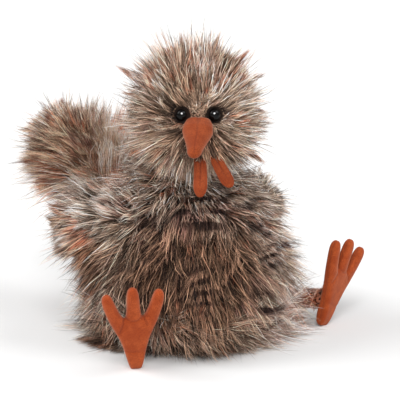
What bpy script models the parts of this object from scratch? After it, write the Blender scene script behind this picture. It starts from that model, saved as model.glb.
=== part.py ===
"""A sitting plush hen: a soft toy with a long brindled coat and orange suedette beak, wattles and feet.

Metres, +Z up. The body faces -Y, its left side is +X, and it sits on the floor at z = 0. The head is
turned to its right and looks up a little. The origin is under the middle of the whole toy's box.
"""

import math
import random

import bmesh
import bpy
from mathutils import Matrix, Vector

MM = 0.001

# Clearance where two sewn pieces meet
GAP = 0.3 * MM

# Coat: pile from the backing fabric to the tips, longer on the head, and how far out the underfur is solid
PILE = 27 * MM
UNDERFUR = 12 * MM
HEAD_PILE = 30 * MM

# Locks of each furry piece: distance between roots, length, width and thickness,
# and the lean away from the surface's normal at the root and at the tip in degrees
LOCKS = {
    "torso": (16.6 * MM, 31 * MM, 20 * MM, 3.4 * MM, 32, 62),
    "head": (14.2 * MM, 29 * MM, 15 * MM, 3.0 * MM, 26, 52),
    "tail": (14.0 * MM, 30 * MM, 15 * MM, 3.0 * MM, 32, 62),
    "wing": (13.5 * MM, 28 * MM, 15 * MM, 3.0 * MM, 34, 66),
    "leg": (10.5 * MM, 11 * MM, 8 * MM, 2.2 * MM, 40, 76),
}
LOCK_SINK = 3.5 * MM
LOCK_STATIONS = ((0, 0.8, 1), (0.36, 1, 1), (0.7, 0.62, 0.6))   # along, width and thickness shares
LOCK_SWERVE = math.radians(20)
LOCK_VARIETY = 0.2
LOCK_REACH = 0.93        # share of the coat's depth that a lock's rings keep to
TIP_REACH = 0.99
ROOT_CLEARANCE = 0.85    # share of a neighbour's coat that the torso's roots keep out of
FLOOR_CLEARANCE = 1 * MM

# Torso: a bell on a flat base, widest at WAIST_Z
TORSO_RADIUS = 52 * MM
TORSO_WAIST_Z = 35 * MM
TORSO_UPPER = 77 * MM
TORSO_LOWER = 70 * MM

# Head: a ball turned towards FACE_TURN and tipped up by FACE_TIP
HEAD_CENTRE = Vector((0.8, -10.5, 155)) * MM
HEAD_RADIUS = 30 * MM
FACE_TURN = math.radians(-33)
FACE_TIP = math.radians(17)
FACE_RADIUS = 27.5 * MM
FACE_MIDDLE = (1.0, 0.07, -0.3)
FACE_EDGE = math.radians(36)
MANE_EDGE = math.radians(80)

# Eyes, in forward, left and up from the head's centre
EYE_RADIUS = 4.2 * MM
EYE_MIDDLE = Vector((24, 1.9, -2)) * MM
EYE_SPREAD = 10.9 * MM

# Beak, from a root inside the face to a round tip
BEAK_ROOT = Vector((23.5, 2.2, -8)) * MM
BEAK_TIP = Vector((50, -0.1, -31)) * MM
BEAK_WIDTH = 21 * MM
BEAK_DEPTH = 14 * MM
BEAK_TIP_WIDTH = 7.6 * MM
BEAK_TAPER = (0.05, 1.1)
BEAK_NECK = 0.76         # share of its width that the beak has where it leaves the face
BEAK_SWELL = 0.24        # share of the length over which it swells to full width
BEAK_ROUND = 0.86        # share of the length after which the tip rounds off

# Wattles: root, bend and end of each flat teardrop
WATTLE_PATHS = {
    "wattle_right": [Vector(p) * MM for p in ((20, 1.5, -20), (23, 4.4, -33), (36, 2.8, -57))],
    "wattle_left": [Vector(p) * MM for p in ((20, 8.4, -19.5), (22, 13.5, -32), (34.5, 23.5, -50.5))],
}
WATTLE_WIDTH = 9.4 * MM
WATTLE_NECK = 6 * MM
WATTLE_THICK = 3.4 * MM
WATTLE_SWELL = (0.25, 0.8)
WATTLE_ROUND = 0.84

# Tail, wings and legs: where the stuffed middle of each lies, for the left side or the only one
TAIL_CENTRE = Vector((-24.5, 89, 105)) * MM
TAIL_AXIS = Vector((-0.20, 0.80, 0.57))
TAIL_COAT = Vector((43, 43, 67)) * MM
WING_CENTRE = Vector((58, 6, 82)) * MM
WING_AXIS = Vector((0.40, 0.80, -0.30))
WING_OUT = Vector((1, 0, 0.1))
WING_COAT = Vector((38, 34, 52)) * MM
HIP = Vector((50, -14, 20)) * MM
LEG_RADIUS = 7.5 * MM
LEG_COAT = 4.5 * MM

# Feet: an upright stuffed sole with three toes, drawn flat with the heel at the origin
FOOT_HEEL = {"left": Vector((79.7, -51.2, 0)) * MM, "right": Vector((73.2, -51.2, 0)) * MM}
FOOT_POSE = {"left": (18, 7.5, 22), "right": (23, 15.5, 4)}     # splay, lean and roll in degrees
FOOT_ROWS = ((-1, 1.5, 4.2), (14, 2.6, 7.2), (25.5, 3.9, 10.2), (36.8, 5.6, 16.2))
MIDDLE_TOE = ((-4.7, 52), (4.7, 52), (-4.4, 65), (4.4, 65))
OUTER_TOE = ((11.2, 51.5), (19.8, 48.2), (14.8, 63), (22.4, 59.4))
FOOT_THICK = 8.5 * MM
LEG_ON_FOOT = 18 * MM
HEEL_FLAT_SINK = 0.7 * MM

SIDES = (("left", 1), ("right", -1))

COLOURS = {
    "coat": ((0.19, 0.15, 0.13), 0.95),
    "suedette": ((0.48, 0.09, 0.025), 0.9),
    "eye": ((0.004, 0.004, 0.004), 0.08),
}

FACE_FORWARD = Vector((math.sin(FACE_TURN) * math.cos(FACE_TIP),
                       -math.cos(FACE_TURN) * math.cos(FACE_TIP),
                       math.sin(FACE_TIP)))
FACE_LEFT = Vector((math.cos(FACE_TURN), math.sin(FACE_TURN), 0))
FACE_UP = FACE_FORWARD.cross(FACE_LEFT)


def face_vector(place):
    """A (forward, left, up) triple of the head as a world vector."""
    return FACE_FORWARD * place[0] + FACE_LEFT * place[1] + FACE_UP * place[2]


def face_point(place):
    return HEAD_CENTRE + face_vector(place)


def smoothstep(low, high, value):
    t = min(max((value - low) / (high - low), 0), 1)
    return t * t * (3 - 2 * t)


def clear_scene():
    for obj in list(bpy.data.objects):
        bpy.data.objects.remove(obj, do_unlink=True)


def new_collection(name):
    collection = bpy.data.collections.new(name)
    bpy.context.scene.collection.children.link(collection)
    return collection


def new_material(name, kind):
    colour, roughness = COLOURS[kind]
    material = bpy.data.materials.new(name)
    material.use_nodes = True
    shader = material.node_tree.nodes["Principled BSDF"]
    shader.inputs["Base Color"].default_value = (*colour, 1)
    shader.inputs["Roughness"].default_value = roughness
    shader.inputs["Metallic"].default_value = 0
    return material


def add_object(name, bm, collection):
    """A smooth-shaded mesh object made from bm, which is freed."""
    bmesh.ops.recalc_face_normals(bm, faces=bm.faces)
    mesh = bpy.data.meshes.new(name)
    bm.to_mesh(mesh)
    bm.free()
    mesh.shade_smooth()
    obj = bpy.data.objects.new(name, mesh)
    collection.objects.link(obj)
    return obj


def apply_modifiers(obj):
    """Replaces the object's mesh by its evaluated one."""
    bpy.context.view_layer.update()
    depsgraph = bpy.context.evaluated_depsgraph_get()
    mesh = bpy.data.meshes.new_from_object(obj.evaluated_get(depsgraph))
    obj.modifiers.clear()
    obj.data = mesh


def grown(obj, by, cutters):
    """A cutter: the object's mesh with its surface moved out by the given distance."""
    mesh = obj.data.copy()
    normals = [vert.normal.copy() for vert in mesh.vertices]
    for vert, normal in zip(mesh.vertices, normals):
        vert.co += normal * by
    cutter = bpy.data.objects.new(obj.name + "_cutter", mesh)
    cutter.matrix_world = obj.matrix_world.copy()
    cutter.display_type = "WIRE"
    cutter.hide_render = True
    cutters.objects.link(cutter)
    return cutter


def cut(obj, cutter):
    modifier = obj.modifiers.new("cut", "BOOLEAN")
    modifier.operation = "DIFFERENCE"
    modifier.object = cutter
    apply_modifiers(obj)


def keep_largest(obj):
    """Drops every closed surface of the object's mesh but the one with the most faces."""
    bm = bmesh.new()
    bm.from_mesh(obj.data)
    left = set(bm.faces)
    shells = []
    while left:
        queue = [left.pop()]
        shell = set(queue)
        while queue:
            face = queue.pop()
            for edge in face.edges:
                for other in edge.link_faces:
                    if other in left:
                        left.remove(other)
                        shell.add(other)
                        queue.append(other)
        shells.append(shell)
    shells.sort(key=len)
    loose = [face for shell in shells[:-1] for face in shell]
    if loose:
        bmesh.ops.delete(bm, geom=loose, context="FACES")
    bm.to_mesh(obj.data)
    bm.free()


def ball(name, place, collection, subdivisions=3):
    """An icosphere whose unit directions are moved to place(direction)."""
    bm = bmesh.new()
    bmesh.ops.create_icosphere(bm, subdivisions=subdivisions, radius=1)
    for vert in bm.verts:
        vert.co = place(vert.co.normalized())
    return add_object(name, bm, collection)


def turn_to(long_axis, across):
    """A rotation whose Z runs along long_axis and whose X is nearest to across."""
    z = long_axis.normalized()
    x = (across - z * across.dot(z)).normalized()
    return Matrix((x, z.cross(x), z)).transposed()


def coat_matrix(centre, turn, axes):
    """The ellipsoid of a coat's tips, as the matrix that makes it from the unit sphere."""
    return Matrix.Translation(centre) @ turn.to_4x4() @ Matrix.Diagonal((*axes, 1))


def mirrored(vector, side):
    return Vector((vector.x * side, vector.y, vector.z))


def wing_matrix(side, inset):
    """The ellipsoid of a wing, at the given distance inside the tips of its coat."""
    turn = turn_to(mirrored(WING_AXIS, side), mirrored(WING_OUT, side))
    return coat_matrix(mirrored(WING_CENTRE, side), turn, WING_COAT - Vector((inset, inset, inset)))


def tail_matrix(inset):
    turn = turn_to(TAIL_AXIS, Vector((1, 0, 0)))
    return coat_matrix(TAIL_CENTRE, turn, TAIL_COAT - Vector((inset, inset, inset)))


def head_surface(direction, depth):
    """The point of the head in a direction, at the given depth of coat behind and round the face."""
    middle = face_vector(FACE_MIDDLE).normalized()
    full = smoothstep(FACE_EDGE, MANE_EDGE, direction.angle(middle))
    radius = FACE_RADIUS + (HEAD_RADIUS + depth - FACE_RADIUS) * full
    return HEAD_CENTRE + direction * radius


def make_head(collection):
    """The ball of stuffing and underfur, flatter and bare at the face."""
    return ball("head", lambda direction: head_surface(direction, UNDERFUR), collection, 4)


def make_torso(parts):
    """The bell of stuffing and underfur turned about Z, drawn from the top down its outer side."""
    radius = TORSO_RADIUS + UNDERFUR
    upper = TORSO_UPPER + UNDERFUR
    lowest = -math.asin(TORSO_WAIST_Z / TORSO_LOWER)
    steps = 12
    bm = bmesh.new()
    verts = []
    for i in range(steps + 1):
        angle = math.pi / 2 + (lowest - math.pi / 2) * i / steps
        height = upper if angle > 0 else TORSO_LOWER
        across = radius * math.cos(angle) if i else 0
        verts.append(bm.verts.new((across, 0, TORSO_WAIST_Z + height * math.sin(angle))))
    verts.append(bm.verts.new((0, 0, 0)))
    for first, second in zip(verts, verts[1:]):
        bm.edges.new((first, second))
    mesh = bpy.data.meshes.new("torso")
    bm.to_mesh(mesh)
    bm.free()
    torso = bpy.data.objects.new("torso", mesh)
    parts.objects.link(torso)
    screw = torso.modifiers.new("turn", "SCREW")
    screw.steps = 32
    screw.render_steps = 32
    screw.use_merge_vertices = True
    screw.merge_threshold = 0.01 * MM
    screw.use_smooth_shade = True
    apply_modifiers(torso)
    return torso


def make_ellipsoid(name, matrix, collection, subdivisions=3):
    return ball(name, lambda direction: matrix @ direction, collection, subdivisions)


def loft(name, rings, collection):
    """A closed solid through rings of equal count, with a flat cap at each end."""
    bm = bmesh.new()
    loops = [[bm.verts.new(point) for point in ring] for ring in rings]
    count = len(rings[0])
    for lower, upper in zip(loops, loops[1:]):
        for i in range(count):
            bm.faces.new((lower[i], lower[(i + 1) % count], upper[(i + 1) % count], upper[i]))
    bm.faces.new(loops[0])
    bm.faces.new(loops[-1])
    return add_object(name, bm, collection)


def oval(centre, across, out, width, thick, count=12):
    """A ring of points round centre, width along across and thick along out."""
    ring = []
    for i in range(count):
        angle = 2 * math.pi * i / count
        ring.append(centre + across * (width / 2 * math.cos(angle)) + out * (thick / 2 * math.sin(angle)))
    return ring


def rounding(s, start):
    """Width share at s along a piece whose last part, from start on, closes like a half circle."""
    return math.sqrt(max(1 - (max(s - start, 0) / (1.005 - start)) ** 2, 0.01))


def make_beak(parts):
    root = face_point(BEAK_ROOT)
    tip = face_point(BEAK_TIP)
    along = (tip - root).normalized()
    across = (FACE_LEFT - along * FACE_LEFT.dot(along)).normalized()
    out = along.cross(across)
    rings = []
    steps = 9
    for i in range(steps + 1):
        s = i / steps
        body = 1 - smoothstep(*BEAK_TAPER, s)
        end = rounding(s, BEAK_ROUND) * (BEAK_NECK + (1 - BEAK_NECK) * smoothstep(0, BEAK_SWELL, s))
        width = (BEAK_TIP_WIDTH + (BEAK_WIDTH - BEAK_TIP_WIDTH) * body) * end
        thick = (BEAK_TIP_WIDTH + (BEAK_DEPTH - BEAK_TIP_WIDTH) * body) * end
        rings.append(oval(root.lerp(tip, s), across, out, width, thick, 14))
    return loft("beak", rings, parts)


def make_wattle(name, parts):
    """A flat teardrop along a bent path, narrow at the root and round at its end."""
    root, bend, end = (face_point(point) for point in WATTLE_PATHS[name])
    steps = 9
    rings = []
    for i in range(steps + 1):
        s = i / steps
        centre = root.lerp(bend, s).lerp(bend.lerp(end, s), s)
        along = (root.lerp(bend, s) - bend.lerp(end, s)).normalized()
        across = (FACE_LEFT - along * FACE_LEFT.dot(along)).normalized()
        swell = smoothstep(*WATTLE_SWELL, s)
        close = rounding(s, WATTLE_ROUND)
        width = (WATTLE_NECK + (WATTLE_WIDTH - WATTLE_NECK) * swell) * close
        rings.append(oval(centre, across, along.cross(across), width, WATTLE_THICK * close))
    return loft(name, rings, parts)


def make_eye(name, side, parts):
    centre = face_point(EYE_MIDDLE + Vector((0, EYE_SPREAD * side, 0)))
    return ball(name, lambda direction: centre + direction * EYE_RADIUS, parts)


def foot_matrix(side_name, side):
    """Where a foot stands: its own X is the outer side, -Y the way the sole faces and Z the toes."""
    splay, lean, roll = (math.radians(angle) for angle in FOOT_POSE[side_name])
    return (Matrix.Translation(mirrored(FOOT_HEEL[side_name], side))
            @ Matrix.Rotation(splay * side, 4, "Z")
            @ Matrix.Rotation(lean, 4, "X")
            @ Matrix.Rotation(roll * side, 4, "Y"))


def make_foot(side_name, side, parts):
    """The flat net of heel, sole and three toes, thickened and rounded."""
    bm = bmesh.new()
    grid = []
    for z, inner, outer in FOOT_ROWS:
        grid.append([bm.verts.new((x * MM, 0, z * MM)) for x in (-outer, -inner, inner, outer)])
    for lower, upper in zip(grid, grid[1:]):
        for i in range(3):
            bm.faces.new((lower[i], lower[i + 1], upper[i + 1], upper[i]))
    right_toe = tuple((-x, z) for x, z in (OUTER_TOE[1], OUTER_TOE[0], OUTER_TOE[3], OUTER_TOE[2]))
    for i, toe in enumerate((right_toe, MIDDLE_TOE, OUTER_TOE)):
        edge = grid[-1][i:i + 2]
        for pair in (toe[:2], toe[2:]):
            upper = [bm.verts.new((x * MM, 0, z * MM)) for x, z in pair]
            bm.faces.new((edge[0], edge[1], upper[1], upper[0]))
            edge = upper
    foot = add_object("foot_" + side_name, bm, parts)
    solidify = foot.modifiers.new("stuffing", "SOLIDIFY")
    solidify.thickness = FOOT_THICK
    solidify.offset = 0
    subdivision = foot.modifiers.new("round", "SUBSURF")
    subdivision.levels = 1
    subdivision.render_levels = 1
    apply_modifiers(foot)
    matrix = foot_matrix(side_name, side)
    lowest = min((matrix @ vert.co).z for vert in foot.data.vertices)
    foot.data.transform(Matrix.Translation((0, 0, -lowest - HEEL_FLAT_SINK)) @ matrix)
    cut_floor(foot)
    return foot


def cut_floor(obj):
    """Trims what lies below the floor and leaves a flat there."""
    bm = bmesh.new()
    bm.from_mesh(obj.data)
    geometry = bm.verts[:] + bm.edges[:] + bm.faces[:]
    trimmed = bmesh.ops.bisect_plane(bm, geom=geometry, plane_co=(0, 0, 0), plane_no=(0, 0, -1),
                                     clear_outer=True)
    rim = [item for item in trimmed["geom_cut"] if isinstance(item, bmesh.types.BMEdge)]
    bmesh.ops.contextual_create(bm, geom=rim)
    bmesh.ops.recalc_face_normals(bm, faces=bm.faces)
    bm.to_mesh(obj.data)
    bm.free()


def leg_ends(side_name, side):
    """Where a leg's middle line starts inside the torso and ends inside the foot."""
    return mirrored(HIP, side), foot_matrix(side_name, side) @ Vector((0, 0, LEG_ON_FOOT))


def make_leg(name, ends, radius, collection):
    hip, ankle = ends
    turn = turn_to(ankle - hip, Vector((0, 0, 1)))
    width = 2 * radius
    rings = [oval(hip.lerp(ankle, s), turn.col[0], turn.col[1], width, width) for s in (0, 0.5, 1)]
    return loft(name, rings, collection)


def tangent(vector, normal):
    """The part of a vector that lies along a surface, as a unit vector."""
    flat = vector - normal * vector.dot(normal)
    return flat.normalized() if flat.length > 1e-6 else normal.orthogonal().normalized()


def scatter(obj, spacing, rng):
    """Points and normals spread over a mesh by area, no two nearer than spacing."""
    mesh = obj.data
    mesh.calc_loop_triangles()
    triangles = [[mesh.vertices[i].co.copy() for i in tri.vertices] for tri in mesh.loop_triangles]
    areas = [tri.area for tri in mesh.loop_triangles]
    normals = [tri.normal.copy() for tri in mesh.loop_triangles]
    tries = int(40 * sum(areas) / spacing ** 2)
    found = []
    for index in rng.choices(range(len(triangles)), weights=areas, k=tries):
        a, b, c = triangles[index]
        u, v = sorted((rng.random(), rng.random()))
        point = a * u + b * (v - u) + c * (1 - v)
        if all((point - other).length > spacing for other, _ in found):
            found.append((point, normals[index]))
    return found


def lock_rings(root, normal, lie, kind, rng):
    """Middle, half width and ridge of each ring of a flat lock, which leans more and more to its tip."""
    _, length, width, thick, lean_root, lean_tip = LOCKS[kind]
    length *= rng.uniform(1 - LOCK_VARIETY, 1 + LOCK_VARIETY)
    width *= rng.uniform(1 - LOCK_VARIETY, 1 + LOCK_VARIETY)
    lie = Matrix.Rotation(rng.uniform(-LOCK_SWERVE, LOCK_SWERVE), 3, normal) @ lie
    across = normal.cross(lie)
    centre = root - normal * LOCK_SINK
    rings = []
    done = -LOCK_SINK / length
    for along, wide, deep in (*LOCK_STATIONS, (1, 0, 0)):
        lean = math.radians(lean_root + (lean_tip - lean_root) * along)
        heading = normal * math.cos(lean) + lie * math.sin(lean)
        if rings:
            centre = centre + heading * (along - done) * length
            done = along
        out = across.cross(heading)
        rings.append((centre, across * width / 2 * wide, out * thick * deep))
    return rings


def make_lock(rings, bounds, collection):
    """A closed lock through its rings, kept inside its piece's coat and above the floor."""
    bm = bmesh.new()
    loops = []
    for i, (centre, across, out) in enumerate(rings):
        if bounds:
            local = bounds.inverted() @ centre
            reach = LOCK_REACH if i < len(rings) - 1 else TIP_REACH
            if local.length > reach:
                centre = bounds @ (local * reach / local.length)
        lift = FLOOR_CLEARANCE - (centre.z - abs(across.z) - abs(out.z))
        centre = centre + Vector((0, 0, max(lift, 0)))
        if i == len(rings) - 1:
            tip = bm.verts.new(centre)
        else:
            corners = (centre + across, centre + out, centre - across)
            loops.append([bm.verts.new(corner) for corner in corners])
    for lower, upper in zip(loops, loops[1:]):
        for i in range(3):
            j = (i + 1) % 3
            bm.faces.new((lower[i], lower[j], upper[j]))
            bm.faces.new((lower[i], upper[j], upper[i]))
    for i in range(3):
        bm.faces.new((loops[-1][i], loops[-1][(i + 1) % 3], tip))
    bm.faces.new(loops[0])
    return add_object("lock", bm, collection)


def grow_locks(obj, kind, lie_at, keep_root, bounds, seed):
    """Sets locks over a core along the lie of the coat and joins them to it."""
    rng = random.Random(seed)
    locks = new_collection("locks")
    for root, normal in scatter(obj, LOCKS[kind][0], rng):
        if keep_root(root):
            make_lock(lock_rings(root, normal, lie_at(root, normal), kind, rng), bounds, locks)
    union = obj.modifiers.new("locks", "BOOLEAN")
    union.operation = "UNION"
    union.operand_type = "COLLECTION"
    union.collection = locks
    apply_modifiers(obj)
    for lock in list(locks.objects):
        bpy.data.objects.remove(lock)
    bpy.data.collections.remove(locks)
    keep_largest(obj)


def inside(matrix, point, share=1.0):
    """Whether a point is within the given share of an ellipsoid."""
    return (matrix.inverted() @ point).length < share


def head_lie(root, normal):
    """Away from the middle of the face, all round the head."""
    return tangent((root - HEAD_CENTRE) - face_vector(FACE_MIDDLE).normalized() * HEAD_RADIUS * 2, normal)


def torso_lie(root, normal):
    """Down the body, turning outwards near the floor."""
    down = smoothstep(4 * MM, 45 * MM, root.z)
    radial = Vector((root.x, root.y, 0)).normalized()
    lie = tangent(Vector((0, 0, -1)), normal) * down + (radial + Vector((0, 0, 0.3))) * (1 - down)
    return tangent(lie, normal)


def along_lie(axis):
    return lambda root, normal: tangent(axis, normal)


def body_matrix():
    """The ellipsoid of the torso's upper part, from its waist up."""
    across = TORSO_RADIUS + UNDERFUR
    return (Matrix.Translation((0, 0, TORSO_WAIST_Z))
            @ Matrix.Diagonal((across, across, TORSO_UPPER + UNDERFUR, 1)))


def skull_matrix():
    """The ball of the head's tips."""
    return Matrix.Translation(HEAD_CENTRE) @ Matrix.Diagonal((*[HEAD_RADIUS + HEAD_PILE] * 3, 1))


def grow_coat(torso, head, tail, wings, legs, ends):
    """Sets the locks of every furry piece, with roots only where no neighbour covers it."""
    body = body_matrix()
    skull = skull_matrix()
    face = face_vector(FACE_MIDDLE).normalized()
    grow_locks(head, "head", head_lie,
               lambda root: not inside(body, root) and (root - HEAD_CENTRE).angle(face) > FACE_EDGE,
               skull, 1)
    grow_locks(tail, "tail", along_lie(TAIL_AXIS), lambda root: not inside(body, root), tail_matrix(0), 2)
    for (name, side), wing, leg in zip(SIDES, wings, legs):
        lie = mirrored(WING_AXIS, side) + mirrored(WING_OUT, side) * 0.5 + Vector((0, 0, -0.7))
        grow_locks(wing, "wing", along_lie(lie), lambda root: not inside(body, root),
                   wing_matrix(side, 0), 4 + side)
        hip, ankle = ends[name]
        grow_locks(leg, "leg", along_lie(ankle - hip),
                   lambda root: not inside(body, root) and (root - ankle).length > LEG_RADIUS * 1.7,
                   None, 7 + side)
    coats = [skull, tail_matrix(0), wing_matrix(1, 0), wing_matrix(-1, 0)]
    grow_locks(torso, "torso", torso_lie,
               lambda root: root.z > 2 * MM and not any(inside(coat, root, ROOT_CLEARANCE) for coat in coats),
               None, 8)


def part_neighbours(torso, head, tail, wings, legs, feet, others, coats, cutters):
    """Cuts each piece clear of the one it grows from, and the locks clear of each other's coats."""
    torso_core, torso_rim = coats["core"], coats["rim"]
    for piece in [head, tail, *wings, *legs]:
        cut(piece, torso_core)
    for coat in [coats["head"], coats["tail"], *coats["wings"], *coats["legs"]]:
        cutter = grown(coat, GAP, cutters)
        cut(cutter, torso_rim)
        cut(torso, cutter)
    head_cutter = grown(coats["head"], GAP, cutters)
    for piece in [tail, *wings]:
        cut(piece, head_cutter)
    for coat in coats["wings"]:
        cut(tail, grown(coat, GAP, cutters))
    for foot, leg in zip(feet, legs):
        foot_cutter = grown(foot, GAP, cutters)
        cut(leg, foot_cutter)
        cut(torso, foot_cutter)
    for piece in others:
        cutter = grown(piece, GAP, cutters)
        cut(head, cutter)
        if piece.name.startswith("wattle"):
            cut(torso, cutter)
    for piece in [torso, head, tail, *wings, *legs]:
        keep_largest(piece)


def stand_on_origin(parts, cutters):
    """Parents every piece to an empty placed so that the origin is under the middle of the toy's box."""
    pieces = list(parts.objects)
    corners = [vert.co for piece in pieces for vert in piece.data.vertices]
    root = bpy.data.objects.new("plush_hen_root", None)
    root.location = [-(min(c[i] for c in corners) + max(c[i] for c in corners)) / 2 for i in (0, 1)] + [0]
    parts.objects.link(root)
    for piece in [*pieces, *cutters.objects]:
        piece.parent = root


def main():
    clear_scene()
    parts = new_collection("plush_hen")
    cutters = new_collection("plush_hen_cutters")
    ends = {name: leg_ends(name, side) for name, side in SIDES}

    torso = make_torso(parts)
    head = make_head(parts)
    tail = make_ellipsoid("tail", tail_matrix(PILE - UNDERFUR), parts)
    wings = [make_ellipsoid("wing_" + name, wing_matrix(side, PILE - UNDERFUR), parts)
             for name, side in SIDES]
    legs = [make_leg("leg_" + name, ends[name], LEG_RADIUS, parts) for name, _ in SIDES]
    feet = [make_foot(name, side, parts) for name, side in SIDES]
    beak = make_beak(parts)
    wattles = [make_wattle(name, parts) for name in WATTLE_PATHS]
    eyes = [make_eye("eye_" + name, side, parts) for name, side in SIDES]

    coats = {
        "core": grown(torso, GAP, cutters),
        "rim": grown(torso, GAP / 2, cutters),
        "head": make_ellipsoid("head_coat", skull_matrix(), cutters, 4),
        "tail": make_ellipsoid("tail_coat", tail_matrix(0), cutters),
        "wings": [make_ellipsoid("wing_coat_" + name, wing_matrix(side, 0), cutters)
                  for name, side in SIDES],
        "legs": [make_leg("leg_coat_" + name, ends[name], LEG_RADIUS + LEG_COAT, cutters)
                 for name, _ in SIDES],
    }
    grow_coat(torso, head, tail, wings, legs, ends)
    part_neighbours(torso, head, tail, wings, legs, feet, [beak, *wattles, *eyes], coats, cutters)

    for pieces, kind in (([torso, head, tail, *wings, *legs], "coat"),
                         ([beak, *wattles, *feet], "suedette"), (eyes, "eye")):
        for piece in pieces:
            piece.data.materials.append(new_material(piece.name + "_" + kind, kind))
    for cutter in cutters.objects:
        cutter.hide_render = True
        cutter.display_type = "WIRE"
    stand_on_origin(parts, cutters)


main()
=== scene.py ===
"""Looks of the sitting plush hen: skin, long brindled coat, suedette beak, wattles and feet, button eyes.

Metres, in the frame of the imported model. Places on the toy are worked out in the toy's own frame, in which
the torso stands on the Z axis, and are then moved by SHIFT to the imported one.
"""

import math

import bmesh
import bpy
import numpy as np
from mathutils import Matrix, Vector
from mathutils.kdtree import KDTree


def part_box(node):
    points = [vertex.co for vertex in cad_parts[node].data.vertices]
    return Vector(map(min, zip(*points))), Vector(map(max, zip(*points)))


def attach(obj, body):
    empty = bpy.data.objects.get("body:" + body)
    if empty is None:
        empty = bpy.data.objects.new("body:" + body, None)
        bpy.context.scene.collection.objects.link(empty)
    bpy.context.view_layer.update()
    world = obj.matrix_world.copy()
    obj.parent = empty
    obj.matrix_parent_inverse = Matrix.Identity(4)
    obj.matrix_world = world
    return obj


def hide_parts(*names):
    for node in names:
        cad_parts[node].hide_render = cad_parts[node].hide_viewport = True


MM = 0.001


def mm(*place):
    return Vector(place) * MM


SIDES = (("left", 1), ("right", -1))

# Body forms under the coat, as in the solids. Eggs have a radius across and a half length
TORSO_RADIUS = 57 * MM
TORSO_WAIST_Z = 35 * MM
TORSO_UPPER = 79 * MM
TORSO_LOWER = 70 * MM
HEAD_CENTRE = mm(0.8, -10.5, 155)
HEAD_RADIUS = 30 * MM
FACE_RADIUS = 27.5 * MM
FACE_AZIMUTH, FACE_ELEVATION = -33, 17
FACE_MIDDLE = (1.0, 0.07, -0.3)
FACE_EDGE = math.radians(36)
MANE_EDGE = math.radians(80)
NECK_RADIUS = 22 * MM
TAIL_CENTRE = mm(-24.5, 89, 105)
TAIL_AXIS = Vector((-0.20, 0.80, 0.57))
TAIL_SKIN = (16 * MM, 40 * MM)
WING_CENTRE = mm(58, 6, 82)
WING_AXIS = Vector((0.40, 0.80, -0.30))
WING_OUT = Vector((1, 0, 0.1))
WING_SKIN = (9 * MM, 25 * MM)
HIP = mm(50, -14, 20)
LEG_SKIN = 6 * MM

# Tubes that join the skin's forms: start, and the radii at both ends. Then how the skin is sewn and relaxed
TRUNK = mm(0, 0, 70)
NECK_START = mm(0, 0, 90)
NECK_TUBE = (30 * MM, NECK_RADIUS)
TAIL_TUBE = (24 * MM, 14 * MM)
WING_TUBE = (24 * MM, 9 * MM)
SKIN_VOXEL = 1.6 * MM
SKIN_RELAX = (0.5, 12)
SKIN_CLEARANCE = 0.5 * MM  # above the floor

# Face, in forward, left and up from the head's centre. Tables give shares of the length and millimetres
EYE_RADIUS = 4.2 * MM
EYE_MIDDLE = mm(24, 1.9, -2)
EYE_SPREAD = 10.9 * MM
EYE_RIM = [(1.0, -0.12), (0.97, -0.22), (0.8, -0.34), (0.5, -0.5)]
BEAK_ROOT = mm(23.5, 2.2, -8)
BEAK_TIP = mm(50, -0.1, -31)
BEAK_WIDTHS = ((0, 17), (0.1, 19.6), (0.24, 20.6), (0.4, 17.8), (0.6, 13.6), (0.8, 10.2), (1, 8.8))
BEAK_DEPTHS = ((0, 12), (0.24, 14), (0.6, 10.5), (1, 7))
BEAK_SQUARE = ((0, 0.68), (0.4, 1.0))  # how square the beak is across, less than 1 being squarer
BEAK_LEAN = -1.3 * MM
BEAK_ROUND = 0.84  # share of the length where the tip starts to round off
BEAK_RINGS = (41, 1.25, 56)  # how many, how much closer they lie at the tip, and the points of each
BEAK_SEAM = (0.5 * MM, 0.4 * MM, 0.35)  # width, depth and painted shade
WATTLE_PATHS = {
    "wattle_right": (mm(20, 1.5, -20), mm(23, 4.4, -33), mm(36, 2.8, -57)),
    "wattle_left": (mm(20, 8.4, -19.5), mm(22, 13.5, -32), mm(34.5, 23.5, -50.5)),
}
WATTLE_WIDTHS = ((0, 6), (0.25, 7), (0.55, 8.6), (0.8, 9.4), (1, 9.1))
WATTLE_THICK = 3.4 * MM
WATTLE_ROUND = 0.84
WATTLE_RINGS = (45, 1.3, 48)
WATTLE_CREASE = (0.55 * MM, 0.45, 0.6)  # width, share of the thickness and painted shade
# Edge seam of a wattle: width, share of the thickness and painted shade
WATTLE_SEAM = (0.35 * MM, 0.22, 0.25)
WATTLE_SEAM_INSET = 1.1 * MM

# Feet, flat with the heel at the origin, toes along Z and the sole facing -Y. Tables are in millimetres
FOOT_HEEL = {"left": mm(79.7, -51.2, 0), "right": mm(73.2, -51.2, 0)}
FOOT_POSE = {"left": (18, 7.5, 22), "right": (23, 15.5, 4)}  # degrees of splay, lean and roll
FOOT_ROWS = ((-1, 1.5, 4.2), (14, 2.6, 7.2), (25.5, 3.9, 10.2), (36.8, 5.6, 16.2))
MIDDLE_TOE = ((-4.7, 52), (4.7, 52), (-4.4, 65), (4.4, 65))
OUTER_TOE = ((11.2, 51.5), (19.8, 48.2), (14.8, 63), (22.4, 59.4))
# Sewn lines, as start, end, sag, width and depth, the depth also setting their painted shade: under the
# middle toe, below the crotches, over the heel
SOLE_LINES = (
    ((-5.6, 42.5), (5.6, 42.5), 2.6, 0.8, 0.5),
    ((-6.0, 42), (-10.2, 31.5), 0, 1.1, 0.55),
    ((6.0, 42), (8.4, 36), 0, 1.1, 0.45),
    ((-6, 17), (6, 15.5), 0.6, 1.2, 0.25),
)
FOOT_SEAM = (0.6 * MM, 0.3 * MM, 0.25)  # width, depth and painted shade
FOOT_THICK = 8.5 * MM
LEG_ON_FOOT = 18 * MM  # height on the foot where the leg ends
HEEL_FLAT_SINK = 0.7 * MM  # how much of the heel the floor flattens

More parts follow.
